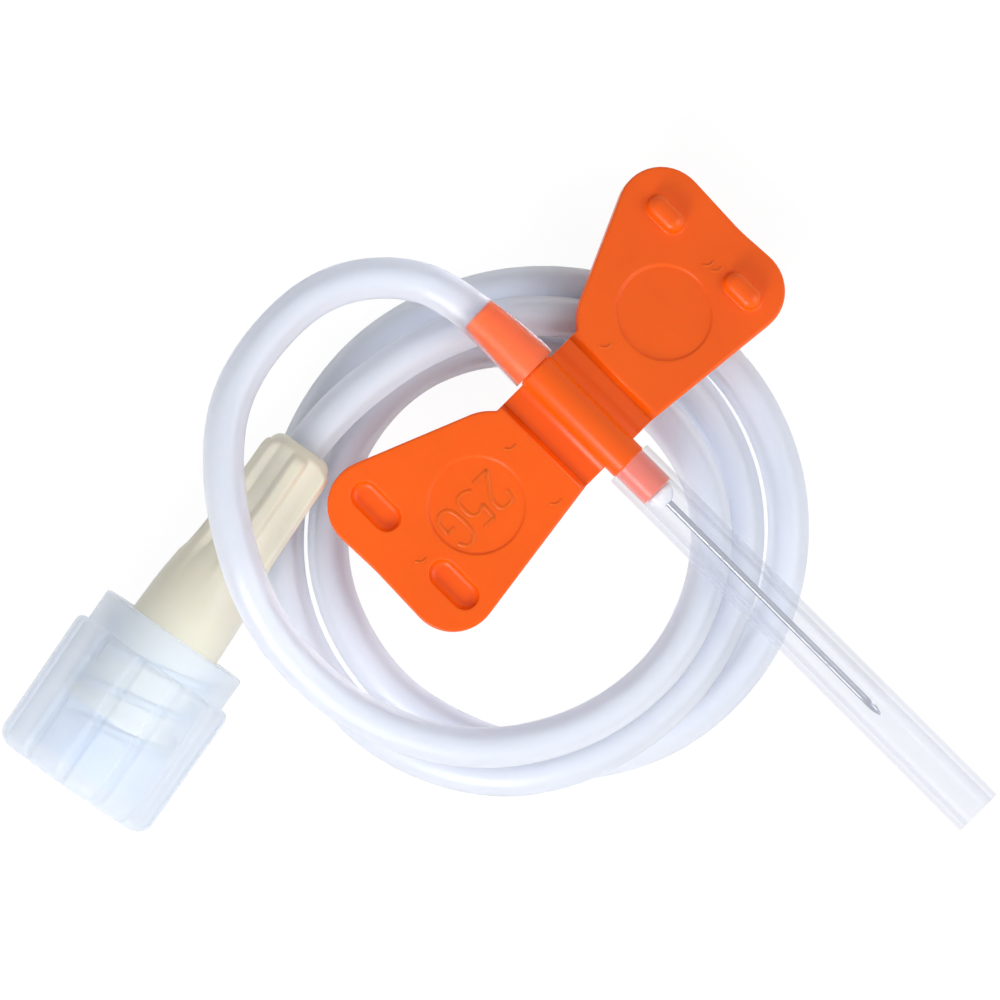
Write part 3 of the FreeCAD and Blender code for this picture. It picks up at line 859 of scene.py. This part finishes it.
def wing_outline(start, right):
    """A plate's outline on the +Y side, from the hinge to the tip."""
    sizes = bpy.context.scene.wing_sizes
    # How far the tip's rounded corners fall short of sharp ones, and how much deeper the right waist is
    corner_loss = 0.11 * MM
    right_waist_gain = 0.15 * MM
    shoulder = barrel_rear()
    rear = shoulder + sizes.neck_setback
    reach = -wing_low.y + corner_loss
    step = sizes.shoulder_step
    rear_spread = sizes.rear_spread
    front_spread = sizes.front_spread
    middle = (front_spread - rear_spread) / 2
    waist = sizes.waist
    if right:
        reach -= sizes.right_trim
        middle += sizes.right_waist_shift
        waist += right_waist_gain
        step = sizes.right_shoulder_step
        rear_spread = sizes.right_rear_spread
        front_spread = sizes.right_front_spread
    return anticlockwise(rounded([
        (rear, start, 0),
        (rear, sizes.shoulder_start, 0.1 * MM),
        (rear - step, sizes.shoulder_start + step, 3.6 * MM),
        (shoulder - rear_spread, reach, sizes.corner_radius),
        (shoulder + middle, reach - waist, 12.0 * MM),
        (shoulder + front_spread, reach, sizes.corner_radius),
        (rear + sizes.neck_length, start, 0),
    ], steps=14))


def plate_start_at(height):
    """Where the plate's inner face stands at a height, up the hollow slope that joins it to the web."""
    sizes = bpy.context.scene.wing_sizes
    web_top = wing_low.z + sizes.web_thickness
    share = clamped((height - web_top) / (wing_high.z - web_top))
    return sizes.slope_start + sizes.slope * share * (1.5 - 0.5 * share)


# Flat face kept round a relief's soft edge, and inside it
RELIEF_MARGIN = 0.05 * MM


def disc_steps():
    """A shallow round recess with soft edges."""
    depth = bpy.context.scene.wing_sizes.disc_depth
    soft = 0.12 * MM
    fall = soft * 0.6
    down = [(soft * (1 - math.sin(a)), -fall * (1 - math.cos(a))) for a in quarter(4)]
    floor = [(-soft * (1 - math.cos(a)), -depth + fall * (1 - math.sin(a))) for a in quarter(4)]
    return [(soft + RELIEF_MARGIN, 0.0)] + down + floor + [(-soft - RELIEF_MARGIN, -depth)]


def peg_steps():
    """A peg with a soft foot and a domed top."""
    height = bpy.context.scene.wing_sizes.peg_height
    foot = 0.16 * MM
    crown = 0.72 * MM
    up = [(foot * (1 - math.sin(a)), foot * (1 - math.cos(a))) for a in quarter()]
    over = [(-crown * (1 - math.cos(a)), foot + (height - foot) * math.sin(a)) for a in quarter(10)]
    return [(foot + RELIEF_MARGIN, 0.0)] + up + over[1:] + [(-crown - RELIEF_MARGIN, height)]


def slot_steps():
    """A slot with a soft brim and a round floor, like the inside of a boat."""
    depth = bpy.context.scene.wing_sizes.slot_depth
    brim = 0.1 * MM
    hollow = 0.55 * MM
    down = [(brim * (1 - math.sin(a)), -brim * (1 - math.cos(a))) for a in quarter()]
    bowl = [(-hollow * (1 - math.cos(a)), -brim - (depth - brim) * math.sin(a)) for a in quarter(10)]
    return [(brim + RELIEF_MARGIN, 0.0)] + down + bowl[1:] + [(-hollow - RELIEF_MARGIN, -depth)]


def make_plate(name, side, droop, with_pegs):
    """A wing's plate with its recess and its pegs or slots."""
    sizes = bpy.context.scene.wing_sizes
    top = wing_high.z
    under = wing_low.z
    edge = sizes.edge_round
    # The lower edge's radius, and a flat strip inside each rounded edge that keeps the faces' shading level
    hem = 0.1 * MM
    lip = 0.06 * MM
    steps = [(-edge - lip, top)]
    steps += [(-edge * (1 - math.sin(a)), top - edge * (1 - math.cos(a))) for a in quarter(6)]
    web_top = under + sizes.web_thickness
    steps += [(0.0, web_top + (top - edge - web_top) * share) for share in (0.8, 0.6, 0.4, 0.2, 0.0)]
    steps += [(-hem * (1 - math.cos(a)), under + hem * (1 - math.sin(a))) for a in quarter(3)]
    steps += [(-hem - lip, under)]
    bm = bmesh.new()
    rings = []
    for reach, height in steps:
        outline = outset(wing_outline(plate_start_at(height), with_pegs), reach)
        rings.append([bm.verts.new((p.x, p.y, height)) for p in outline])
    skin(bm, rings)
    fill(bm, rings[-1])
    disc_place, disc_distance = RIGHT_DISC if with_pegs else LEFT_DISC
    disc = circle(barrel_rear() + disc_place * MM, disc_distance * MM, sizes.disc_radius)
    holes = [relief(bm, disc, disc_steps(), top)]
    if with_pegs:
        places, steps = PEG_PLACES, peg_steps()
        distance, length, width = sizes.peg_distance, sizes.peg_length, sizes.peg_width
    else:
        places, steps = SLOT_PLACES, slot_steps()
        distance, length, width = sizes.slot_distance, sizes.slot_length, sizes.slot_width
    for place in places:
        outline = obround(barrel_rear() + place * MM, distance, length, width)
        holes.append(relief(bm, outline, steps, top))
    fill(bm, rings[0], holes)
    return finish_mesh(name, bm, bpy.data.materials["moulded_orange_pvc"],
                       Matrix.Scale(side, 4, (0, 1, 0)) @ drooped(droop))


def stroke_mesh(name, strokes, width, material):
    """Raised rounded strokes: each is a row of (x, y, z) points with a round bead along it."""
    bead = curve_through(name, strokes, 6)
    bead.data.bevel_depth = width / 2
    bead.data.bevel_resolution = 3
    bead.data.use_fill_caps = True
    result = plain_mesh(bead, name)
    result.data.materials.clear()
    result.data.materials.append(material)
    return result


# Strokes of the gauge number in cells one high: (x, y) from the cell's lower left corner
GAUGE_STROKES = [
    [(0.0, 0.72), (0.02, 1.0), (0.3, 1.04), (0.58, 0.98), (0.58, 0.66), (0.4, 0.42), (0.0, 0.0)],
    [(0.0, 0.0), (0.3, 0.0), (0.62, 0.0)],
    [(1.38, 1.0), (1.15, 1.0), (0.92, 1.0)],
    [(0.92, 1.0), (0.9, 0.8), (0.88, 0.55)],
    [(0.88, 0.55), (1.1, 0.68), (1.42, 0.6), (1.46, 0.28), (1.38, 0.0), (1.08, -0.04), (0.84, 0.1)],
    [(2.36, 0.82), (2.26, 1.04), (1.98, 1.06), (1.74, 0.9), (1.7, 0.5), (1.76, 0.08), (2.02, -0.06),
     (2.3, 0.0), (2.38, 0.25), (2.38, 0.46)],
    [(2.38, 0.46), (2.22, 0.46), (2.08, 0.46)],
]


def make_gauge_mark():
    """The gauge number, raised on the left wing's recess, read from the needle's side."""
    sizes = bpy.context.scene.wing_sizes
    # A cell's height, the share of it that a cell is wide, and the whole number's width in cells
    height = 2.55 * MM
    condensed = 0.78
    width = 2.38
    # The beads' width, how far their axes lie under the recess's floor, and the shift from its middle
    bead_width = 0.43 * MM
    sunk = 0.15 * MM
    shift_x = 0.09
    shift_y = 0.28
    floor = wing_high.z - sizes.disc_depth - sunk
    middle_x = barrel_rear() + (LEFT_DISC[0] + shift_x) * MM
    middle_y = -(LEFT_DISC[1] + shift_y) * MM
    strokes = []
    for stroke in GAUGE_STROKES:
        row = []
        for x, y in stroke:
            along = (x - width / 2) * height * condensed
            up = (y - 0.5) * height
            row.append((middle_x + up, middle_y - along, floor))
        strokes.append(row)
    mark = stroke_mesh("gauge_mark", strokes, bead_width, bpy.data.materials["moulded_orange_pvc"])
    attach(mark, "left_wing")


# Little raised arcs that the mould leaves on each wing: place from the barrel's rear shoulder, distance from
# the needle's axis, and turn in the picture, in degrees
LEFT_TICKS = [(2.44, -4.75, 108.0), (3.54, -14.1, 104.0), (7.1, -5.17, 108.0)]
RIGHT_TICKS = [(3.1, 13.15, 104.0), (3.75, 13.3, 104.0), (2.16, 4.2, 98.0)]
# One arc's points before it is turned: (across, up)
TICK_ARC = [(-0.4, 0.0), (-0.18, -0.14), (0.18, -0.14), (0.4, 0.05)]


def make_ticks(name, body, ticks, droop):
    """The little arcs that stand out of a wing's upper face."""
    bead_width = 0.24 * MM
    sunk = 0.06 * MM
    strokes = []
    for place, distance, turn in ticks:
        angle = math.radians(turn - VIEW_TURN)
        row = []
        for across, up in TICK_ARC:
            x = place + across * math.cos(angle) - up * math.sin(angle)
            y = distance + across * math.sin(angle) + up * math.cos(angle)
            row.append(drooped(droop) @ Vector((barrel_rear() + x * MM, y * MM, wing_high.z - sunk)))
        strokes.append(row)
    marks = stroke_mesh(name, strokes, bead_width, bpy.data.materials["moulded_orange_pvc"])
    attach(marks, body)


def make_wings():
    """Both plates, their webs, the raised gauge number and the mould's ticks."""
    sizes = bpy.context.scene.wing_sizes
    left = make_plate("left_wing_plate", -1, 0.0, False)
    right = make_plate("right_wing_plate", 1, sizes.droop, True)
    for plate, body in ((left, "left_wing"), (right, "right_wing")):
        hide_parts(body)
        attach(plate, body)
    make_web("left_hinge_web", -1, 0.0)
    make_web("right_hinge_web", 1, sizes.droop)
    make_gauge_mark()
    make_ticks("left_mould_ticks", "left_wing", LEFT_TICKS, 0.0)
    make_ticks("right_mould_ticks", "right_wing", RIGHT_TICKS, sizes.droop)


# Needle and sheath


def make_needle():
    """The cannula: a fine steel tube with a three-faced bevel."""
    radius = needle_high.z
    bore = 0.13 * MM
    sides = 48
    # Each grind's slant to the axis and its roll about it; the two side grinds take the point back a little
    point_loss = 0.15 * MM
    tip = needle_high.x + point_loss
    grinds = [(math.radians(slant), math.radians(roll)) for slant, roll in ((14, 0), (19, 38), (19, -38))]

    def cut(y, z):
        ends = []
        for slant, roll in grinds:
            height = z * math.cos(roll) - y * math.sin(roll)
            ends.append(tip - (height + radius) / math.tan(slant))
        return min(ends)

    bm = bmesh.new()
    angles = [2 * math.pi * i / sides for i in range(sides)]
    rings = []
    for reach, at_tip in ((bore, False), (radius, False), (radius, True), (bore, True)):
        ring = []
        for a in angles:
            y = reach * math.cos(a)
            z = reach * math.sin(a)
            ring.append(bm.verts.new((cut(y, z) if at_tip else needle_low.x, y, z)))
        rings.append(ring)
    skin(bm, rings + rings[:1])
    needle = finish_mesh("needle_cannula", bm, needle_steel())
    needle.data.set_sharp_from_angle(angle=math.radians(35.0))
    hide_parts("needle")
    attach(needle, HUB_BODY)


def make_bead():
    """The adhesive between nose and cannula: a lumpy cone with fine ripples."""
    radius = needle_high.z
    base = bead_high.z
    length = bead_high.x - bead_low.x
    # Places along the bead and radii there, as shares of its length and of its base
    profile = [(0.0, 0.9), (0.12, 1.0), (0.35, 0.97), (0.6, 0.8), (0.8, 0.58), (0.95, 0.38)]
    rows = [(bead_low.x + length * place, base * share) for place, share in profile]
    rows = [(bead_low.x, radius)] + rows + [(bead_high.x, radius)]
    sides = 64
    swell = 1.07
    lump_height = 0.07
    ripple_height = 0.04

    def lumpy(index, place, reach, angle):
        if index in (0, len(rows) - 1):
            return reach
        lump = lump_height * math.sin(3 * angle + 900 * place) * math.cos(angle - 0.8)
        ripple = ripple_height * math.sin(7 * angle - 5200 * place)
        return reach * (swell + lump + ripple)

    bm = bmesh.new()
    turned(bm, rows, sides, radius_at=lumpy, closed=True)
    bead = finish_mesh("adhesive_bead", bm, cured_adhesive())
    soften = bead.modifiers.new("soften", "SUBSURF")
    soften.levels = 1
    soften.render_levels = 1
    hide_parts("needle_adhesive")
    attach(bead, HUB_BODY)


def make_sheath():
    """The needle's protector: a plain clear tube, open at both ends."""
    sizes = bpy.context.scene.sheath_sizes
    outer = sheath_high.z
    inner = outer - sizes.wall
    lip = 0.06 * MM
    rows = rounded([
        (sheath_low.x, inner, lip),
        (sheath_low.x, outer, lip),
        (sheath_high.x, outer, lip),
        (sheath_high.x, inner, lip),
    ], steps=4)
    bm = bmesh.new()
    turned(bm, [(p.x, p.y) for p in rows], ROUND_SIDES, closed=True)
    sheath = finish_mesh("needle_sheath_tube", bm, sheath_plastic())
    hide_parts("needle_sheath")
    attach(sheath, "sheath")


# Connector and cap


def make_connector():
    """Female luer connector: ribs fade into a plain cone, and two lugs stand at the mouth."""
    sizes = bpy.context.scene.connector_sizes
    cap = bpy.context.scene.cap_sizes
    mouth = sizes.length
    core = sizes.rear_radius - sizes.rib_height
    neck = mouth - cap.cover
    # Places from the rear end, and how far the surface there stands out of the core between ribs and over one
    profile = [
        (-0.35, -0.7, -0.7),
        (-0.3, -0.55, -0.55),
        (-0.15, -0.3, -0.3),
        (0.05, -0.12, -0.12),
        (0.25, -0.03, -0.02),
        (0.38, -0.01, 0.15),
        (0.5, 0.0, 0.3),
        (0.7, 0.0, 0.4),
        (1.1, 0.0, 0.45),
        (5.0, 0.03, 0.47),
        (7.0, 0.08, 0.54),
        (8.0, 0.22, 0.61),
        (9.0, 0.55, 0.72),
        (9.8, 0.76, 0.8),
        (11.4, 0.93, 0.94),
        (12.8, 1.0, 1.0),
    ]
    outside = [(place, core + valley * MM, core + crest * MM) for place, valley, crest in profile] + [
        (neck / MM, sizes.mouth_radius, sizes.mouth_radius),
        (mouth / MM - 0.3, sizes.mouth_radius, sizes.mouth_radius),
        (mouth / MM - 0.05, sizes.mouth_radius - 0.05 * MM, sizes.mouth_radius - 0.05 * MM),
        (mouth / MM, sizes.mouth_radius - 0.25 * MM, sizes.mouth_radius - 0.25 * MM),
    ]
    # The luer taper of six per cent, the fluid's bore behind it, and the socket for the tube
    taper_mouth = 2.14 * MM
    taper_end = 1.88 * MM
    taper_depth = 8.6
    bore = 0.7 * MM
    tube_radius = bpy.context.scene.tube_sizes.diameter / 2 + SLIP
    inside = [
        (mouth / MM, taper_mouth + 0.1 * MM),
        (mouth / MM - 0.1, taper_mouth),
        (mouth / MM - taper_depth, taper_end),
        (mouth / MM - taper_depth, bore),
        (TUBE_INSERTION + 0.05, bore),
        (TUBE_INSERTION, tube_radius),
        (-0.2, tube_radius),
        (-0.35, tube_radius + 0.1 * MM),
    ]
    rows = [(place * MM, valley) for place, valley, crest in outside]
    rows += [(place * MM, radius) for place, radius in inside]
    crests = [crest for place, valley, crest in outside]
    half_width = math.asin(sizes.rib_width / 2 / sizes.rear_radius)
    soft = math.radians(6.0)
    pitch = 2 * math.pi / sizes.rib_count
    roll = math.pi / 2 - sizes.rib_roll

    def ribbed(index, place, radius, angle):
        if index >= len(crests):
            return radius
        share = ridge_share(angle, roll, pitch, half_width, soft)
        return radius + (crests[index] - radius) * share

    bm = bmesh.new()
    turned(bm, rows, RIBBED_SIDES, radius_at=ribbed, closed=True)
    body = finish_mesh("luer_connector_body", bm, connector_resin(), on_connector())
    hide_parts("luer_connector")
    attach(body, HUB_BODY)
    return [body, make_lugs()]


def copies_tree(material):
    """Geometry nodes that set copies of a piece at even turns about the X axis."""
    tree, inputs = geometry_tree("copies_about_axis", "NodeSocketInt", ("Count",))
    places = node(tree, "GeometryNodeMeshLine", Count=inputs["Count"], Offset=(0, 0, 0))
    index = node(tree, "GeometryNodeInputIndex")
    step = node(tree, "ShaderNodeMath", {"operation": "DIVIDE"}, i0=2 * math.pi, i1=inputs["Count"])
    turn = node(tree, "ShaderNodeMath", {"operation": "MULTIPLY"}, i0=index.outputs[0], i1=step.outputs[0])
    angles = node(tree, "ShaderNodeCombineXYZ", X=turn.outputs[0])
    rotation = node(tree, "FunctionNodeEulerToRotation", Euler=angles.outputs[0])
    copies = node(tree, "GeometryNodeInstanceOnPoints", Points=places.outputs[0], Instance=inputs["Geometry"],
                  Rotation=rotation.outputs[0])
    end_tree(tree, copies.outputs[0], material)
    return tree


def two_about_axis(piece, name, material):
    """A piece made about X, with a second one across from it, in place on the connector's axis."""
    modifier = piece.modifiers.new("copies", "NODES")
    modifier.node_group = copies_tree(material)
    give_inputs(modifier, {"Count": 2})
    pair = plain_mesh(piece, name)
    pair.data.transform(on_connector())
    return pair


def make_lugs():
    """The two lugs at the connector's mouth, which the cap's thread would hold."""
    sizes = bpy.context.scene.connector_sizes
    material = bpy.data.materials["moulded_cream_abs"]
    end = sizes.length
    start = end - 1.1 * MM
    reach = 3.9 * MM
    inner = sizes.mouth_radius - 0.2 * MM
    soft = 0.1 * MM
    # Half of a lug's angle about the axis, and how much of its height the rounding takes at its two ends
    spread = math.radians(24.0)
    end_fall = 0.35
    steps = 14
    bm = bmesh.new()
    rings = []
    for i in range(steps + 1):
        angle = -spread + 2 * spread * i / steps
        outer = inner + (reach - inner) * (1 - (abs(angle) / spread) ** 6 * end_fall)
        section = [(start, inner), (start, outer - soft), (start + soft, outer), (end - soft, outer),
                   (end, outer - soft), (end, inner)]
        rings.append([bm.verts.new((x, r * math.cos(angle), r * math.sin(angle))) for x, r in section])
    skin(bm, rings)
    bm.faces.new(rings[0])
    bm.faces.new(rings[-1])
    lugs = two_about_axis(finish_mesh("lug", bm, material), "luer_lugs", material)
    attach(lugs, HUB_BODY)
    return lugs


def make_cap():
    """Luer cap: a plain collar, a grooved grip with a rounded end, a plug and a thread inside."""
    sizes = bpy.context.scene.cap_sizes
    mouth = bpy.context.scene.connector_sizes.length
    rim = mouth - sizes.cover
    end = rim + sizes.length
    grip = rim + sizes.collar_length
    bore = 4.2 * MM
    floor = end - 1.2 * MM
    # The hollow plug: its radius at the cap's floor, its taper, its own bore and how deep that ends
    plug_radius = 2.12 * MM
    plug_tip = mouth - 7.0 * MM
    plug_narrowing = 0.21 * MM
    plug_bore = 1.1 * MM
    plug_floor = floor - 0.6 * MM
    corners = rounded([
        (end, 0, 0),
        (end, sizes.radius - 0.1 * MM, 1.05 * MM),
        (grip, sizes.radius, 0.5 * MM),
        (grip, sizes.collar_radius, 0.1 * MM),
        (rim, sizes.collar_radius, 0.2 * MM),
        (rim, bore, 0.15 * MM),
        (floor, bore, 0.3 * MM),
        (floor, plug_radius, 0.1 * MM),
        (plug_tip, plug_radius - plug_narrowing, 0.1 * MM),
        (plug_tip, plug_bore, 0.1 * MM),
        (plug_floor, plug_bore, 0.05 * MM),
        (plug_floor, 0, 0),
    ], steps=6, closed=False)
    rows = [(p.x, p.y) for p in corners]
    # The grooves run along the grip alone, which stands out of the collar
    grooved_from = sizes.collar_radius + 0.15 * MM
    depth = 0.28 * MM
    pitch = 2 * math.pi / sizes.groove_count
    roll = math.pi / 2 - sizes.groove_roll
    half_width = math.radians(3.4)
    soft = math.radians(1.5)

    def grooved(index, place, radius, angle):
        if radius < grooved_from or place < grip:
            return radius
        return radius - depth * ridge_share(angle, roll, pitch, half_width, soft)

    bm = bmesh.new()
    turned(bm, rows, RIBBED_SIDES, radius_at=grooved)
    cap = finish_mesh("luer_cap_shell", bm, cap_plastic(), on_connector())
    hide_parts("luer_cap")
    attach(cap, "cap")
    make_cap_thread(rim, bore)
    return cap


def make_cap_thread(rim, bore):
    """The cap's inner thread of two starts, which turns over the connector's lugs."""
    lead = 5.0 * MM
    start = rim + 1.2 * MM
    turns = 1.35
    steps = 96
    # The ridge's section: half its width along the cap, its foot inside the wall, and its crest
    half = 0.35 * MM
    foot = bore + 0.05 * MM
    crest = bore - 0.14 * MM
    section = [(-half, foot), (0.0, crest), (half, foot)]
    bm = bmesh.new()
    rings = []
    for i in range(steps + 1):
        angle = 2 * math.pi * turns * i / steps
        along = start + lead * turns * i / steps
        rings.append([bm.verts.new((along + x, r * math.cos(angle), r * math.sin(angle)))
                      for x, r in section])
    skin(bm, rings)
    bm.faces.new(rings[0])
    bm.faces.new(rings[-1])
    material = bpy.data.materials["moulded_natural_polyethylene"]
    thread = two_about_axis(finish_mesh("ridge", bm, material), "luer_cap_thread", material)
    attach(thread, "cap")


# Camera and stage

# Each lamp faces the set: name, place and side in metres, power in watts
LAMPS = (
    ("key", (0.12, -0.44, 0.32), 0.22, 2.05),
    ("fill", (0.34, 0.3, 0.36), 0.4, 1.4),
)
PAPER_HALF = 2.0


def make_camera():
    """A long lens straight above the set."""
    sizes = bpy.context.scene.stage_sizes
    data = bpy.data.cameras.new("camera")
    data.sensor_width = 36.0
    data.lens = sizes.focal_length
    data.clip_end = 20.0
    camera = bpy.data.objects.new("camera", data)
    distance = sizes.view_width * sizes.focal_length / data.sensor_width
    camera.location = (VIEW_CENTRE[0] * MM, VIEW_CENTRE[1] * MM, distance)
    camera.rotation_euler = (0, 0, math.radians(VIEW_TURN))
    bpy.context.collection.objects.link(camera)
    bpy.context.scene.camera = camera


def area_light(name, place, size, power):
    """A square soft light that faces the set."""
    data = bpy.data.lights.new(name, "AREA")
    data.size = size
    data.energy = power
    light = bpy.data.objects.new(name, data)
    light.location = place
    light.rotation_euler = Vector(place).to_track_quat("Z", "Y").to_euler()
    bpy.context.collection.objects.link(light)


def make_stage():
    """White paper, a key light from the picture's bottom, a fill from its right, and a white surround."""
    bm = bmesh.new()
    corners = ((-PAPER_HALF, -PAPER_HALF), (PAPER_HALF, -PAPER_HALF), (PAPER_HALF, PAPER_HALF),
               (-PAPER_HALF, PAPER_HALF))
    bm.faces.new([bm.verts.new((x, y, table)) for x, y in corners])
    paper = finish_mesh("paper", bm, table_paper())
    for lamp in LAMPS:
        area_light(*lamp)
    scene = bpy.context.scene
    world = bpy.data.worlds.new("white_surround")
    scene.world = world
    world.use_nodes = True
    tree = world.node_tree
    tree.nodes.clear()
    strength = node(tree, "ShaderNodeMapRange", Value=white_seen(tree), To_Min=0.4, To_Max=1.0)
    sky = node(tree, "ShaderNodeBackground", Color=(1, 1, 1, 1), Strength=strength.outputs[0])
    node(tree, "ShaderNodeOutputWorld", Surface=sky.outputs[0])
    scene.view_settings.view_transform = "Standard"


# The add-on's operators, panel and registration


class MakeCamera(bpy.types.Operator):
    """Adds the camera above the set"""
    bl_idname = "butterfly.make_camera"
    bl_label = "Camera"

    def execute(self, context):
        make_camera()
        return {"FINISHED"}


class MakeLine(bpy.types.Operator):
    """Makes the tubing with the connector and cap on its end"""
    bl_idname = "butterfly.make_line"
    bl_label = "Tubing, connector and cap"

    def execute(self, context):
        tube, path, length = make_tubing()
        pieces = make_connector() + [make_cap()]
        return {"FINISHED"}


class MakeWings(bpy.types.Operator):
    """Makes the hub, its wings and their hinge webs"""
    bl_idname = "butterfly.make_wings"
    bl_label = "Hub and wings"

    def execute(self, context):
        wing_plastic()
        make_hub()
        make_wings()
        return {"FINISHED"}


class MakeNeedle(bpy.types.Operator):
    """Makes the needle, its bead of adhesive and its sheath"""
    bl_idname = "butterfly.make_needle"
    bl_label = "Needle and sheath"

    def execute(self, context):
        make_needle()
        make_bead()
        make_sheath()
        return {"FINISHED"}


class MakeStage(bpy.types.Operator):
    """Adds the paper, the lights and the white surround"""
    bl_idname = "butterfly.make_stage"
    bl_label = "Stage"

    def execute(self, context):
        make_stage()
        return {"FINISHED"}


class ButterflyPanel(bpy.types.Panel):
    """Sizes and makers of the butterfly needle"""
    bl_idname = "VIEW3D_PT_butterfly_needle"
    bl_label = "Butterfly needle"
    bl_space_type = "VIEW_3D"
    bl_region_type = "UI"
    bl_category = "Butterfly needle"

    def draw(self, context):
        for maker in MAKERS:
            self.layout.operator(maker.bl_idname)
        for name, group in GROUPS:
            for key in group.__annotations__:
                self.layout.prop(getattr(context.scene, name), key)


MAKERS = (MakeCamera, MakeLine, MakeWings, MakeNeedle, MakeStage)
GROUPS = (
    ("wing_sizes", WingSizes),
    ("tube_sizes", TubeSizes),
    ("sheath_sizes", SheathSizes),
    ("connector_sizes", ConnectorSizes),
    ("cap_sizes", CapSizes),
    ("stage_sizes", StageSizes),
)


def register():
    for name, group in GROUPS:
        bpy.utils.register_class(group)
        setattr(bpy.types.Scene, name, PointerProperty(type=group))
    for maker in MAKERS:
        bpy.utils.register_class(maker)
    bpy.utils.register_class(ButterflyPanel)


def unregister():
    bpy.utils.unregister_class(ButterflyPanel)
    for maker in reversed(MAKERS):
        bpy.utils.unregister_class(maker)
    for name, group in reversed(GROUPS):
        delattr(bpy.types.Scene, name)
        bpy.utils.unregister_class(group)


def main():
    register()
    bpy.ops.butterfly.make_camera()
    bpy.ops.butterfly.make_line()
    bpy.ops.butterfly.make_wings()
    bpy.ops.butterfly.make_needle()
    bpy.ops.butterfly.make_stage()


if __name__ == "__main__":
    main()
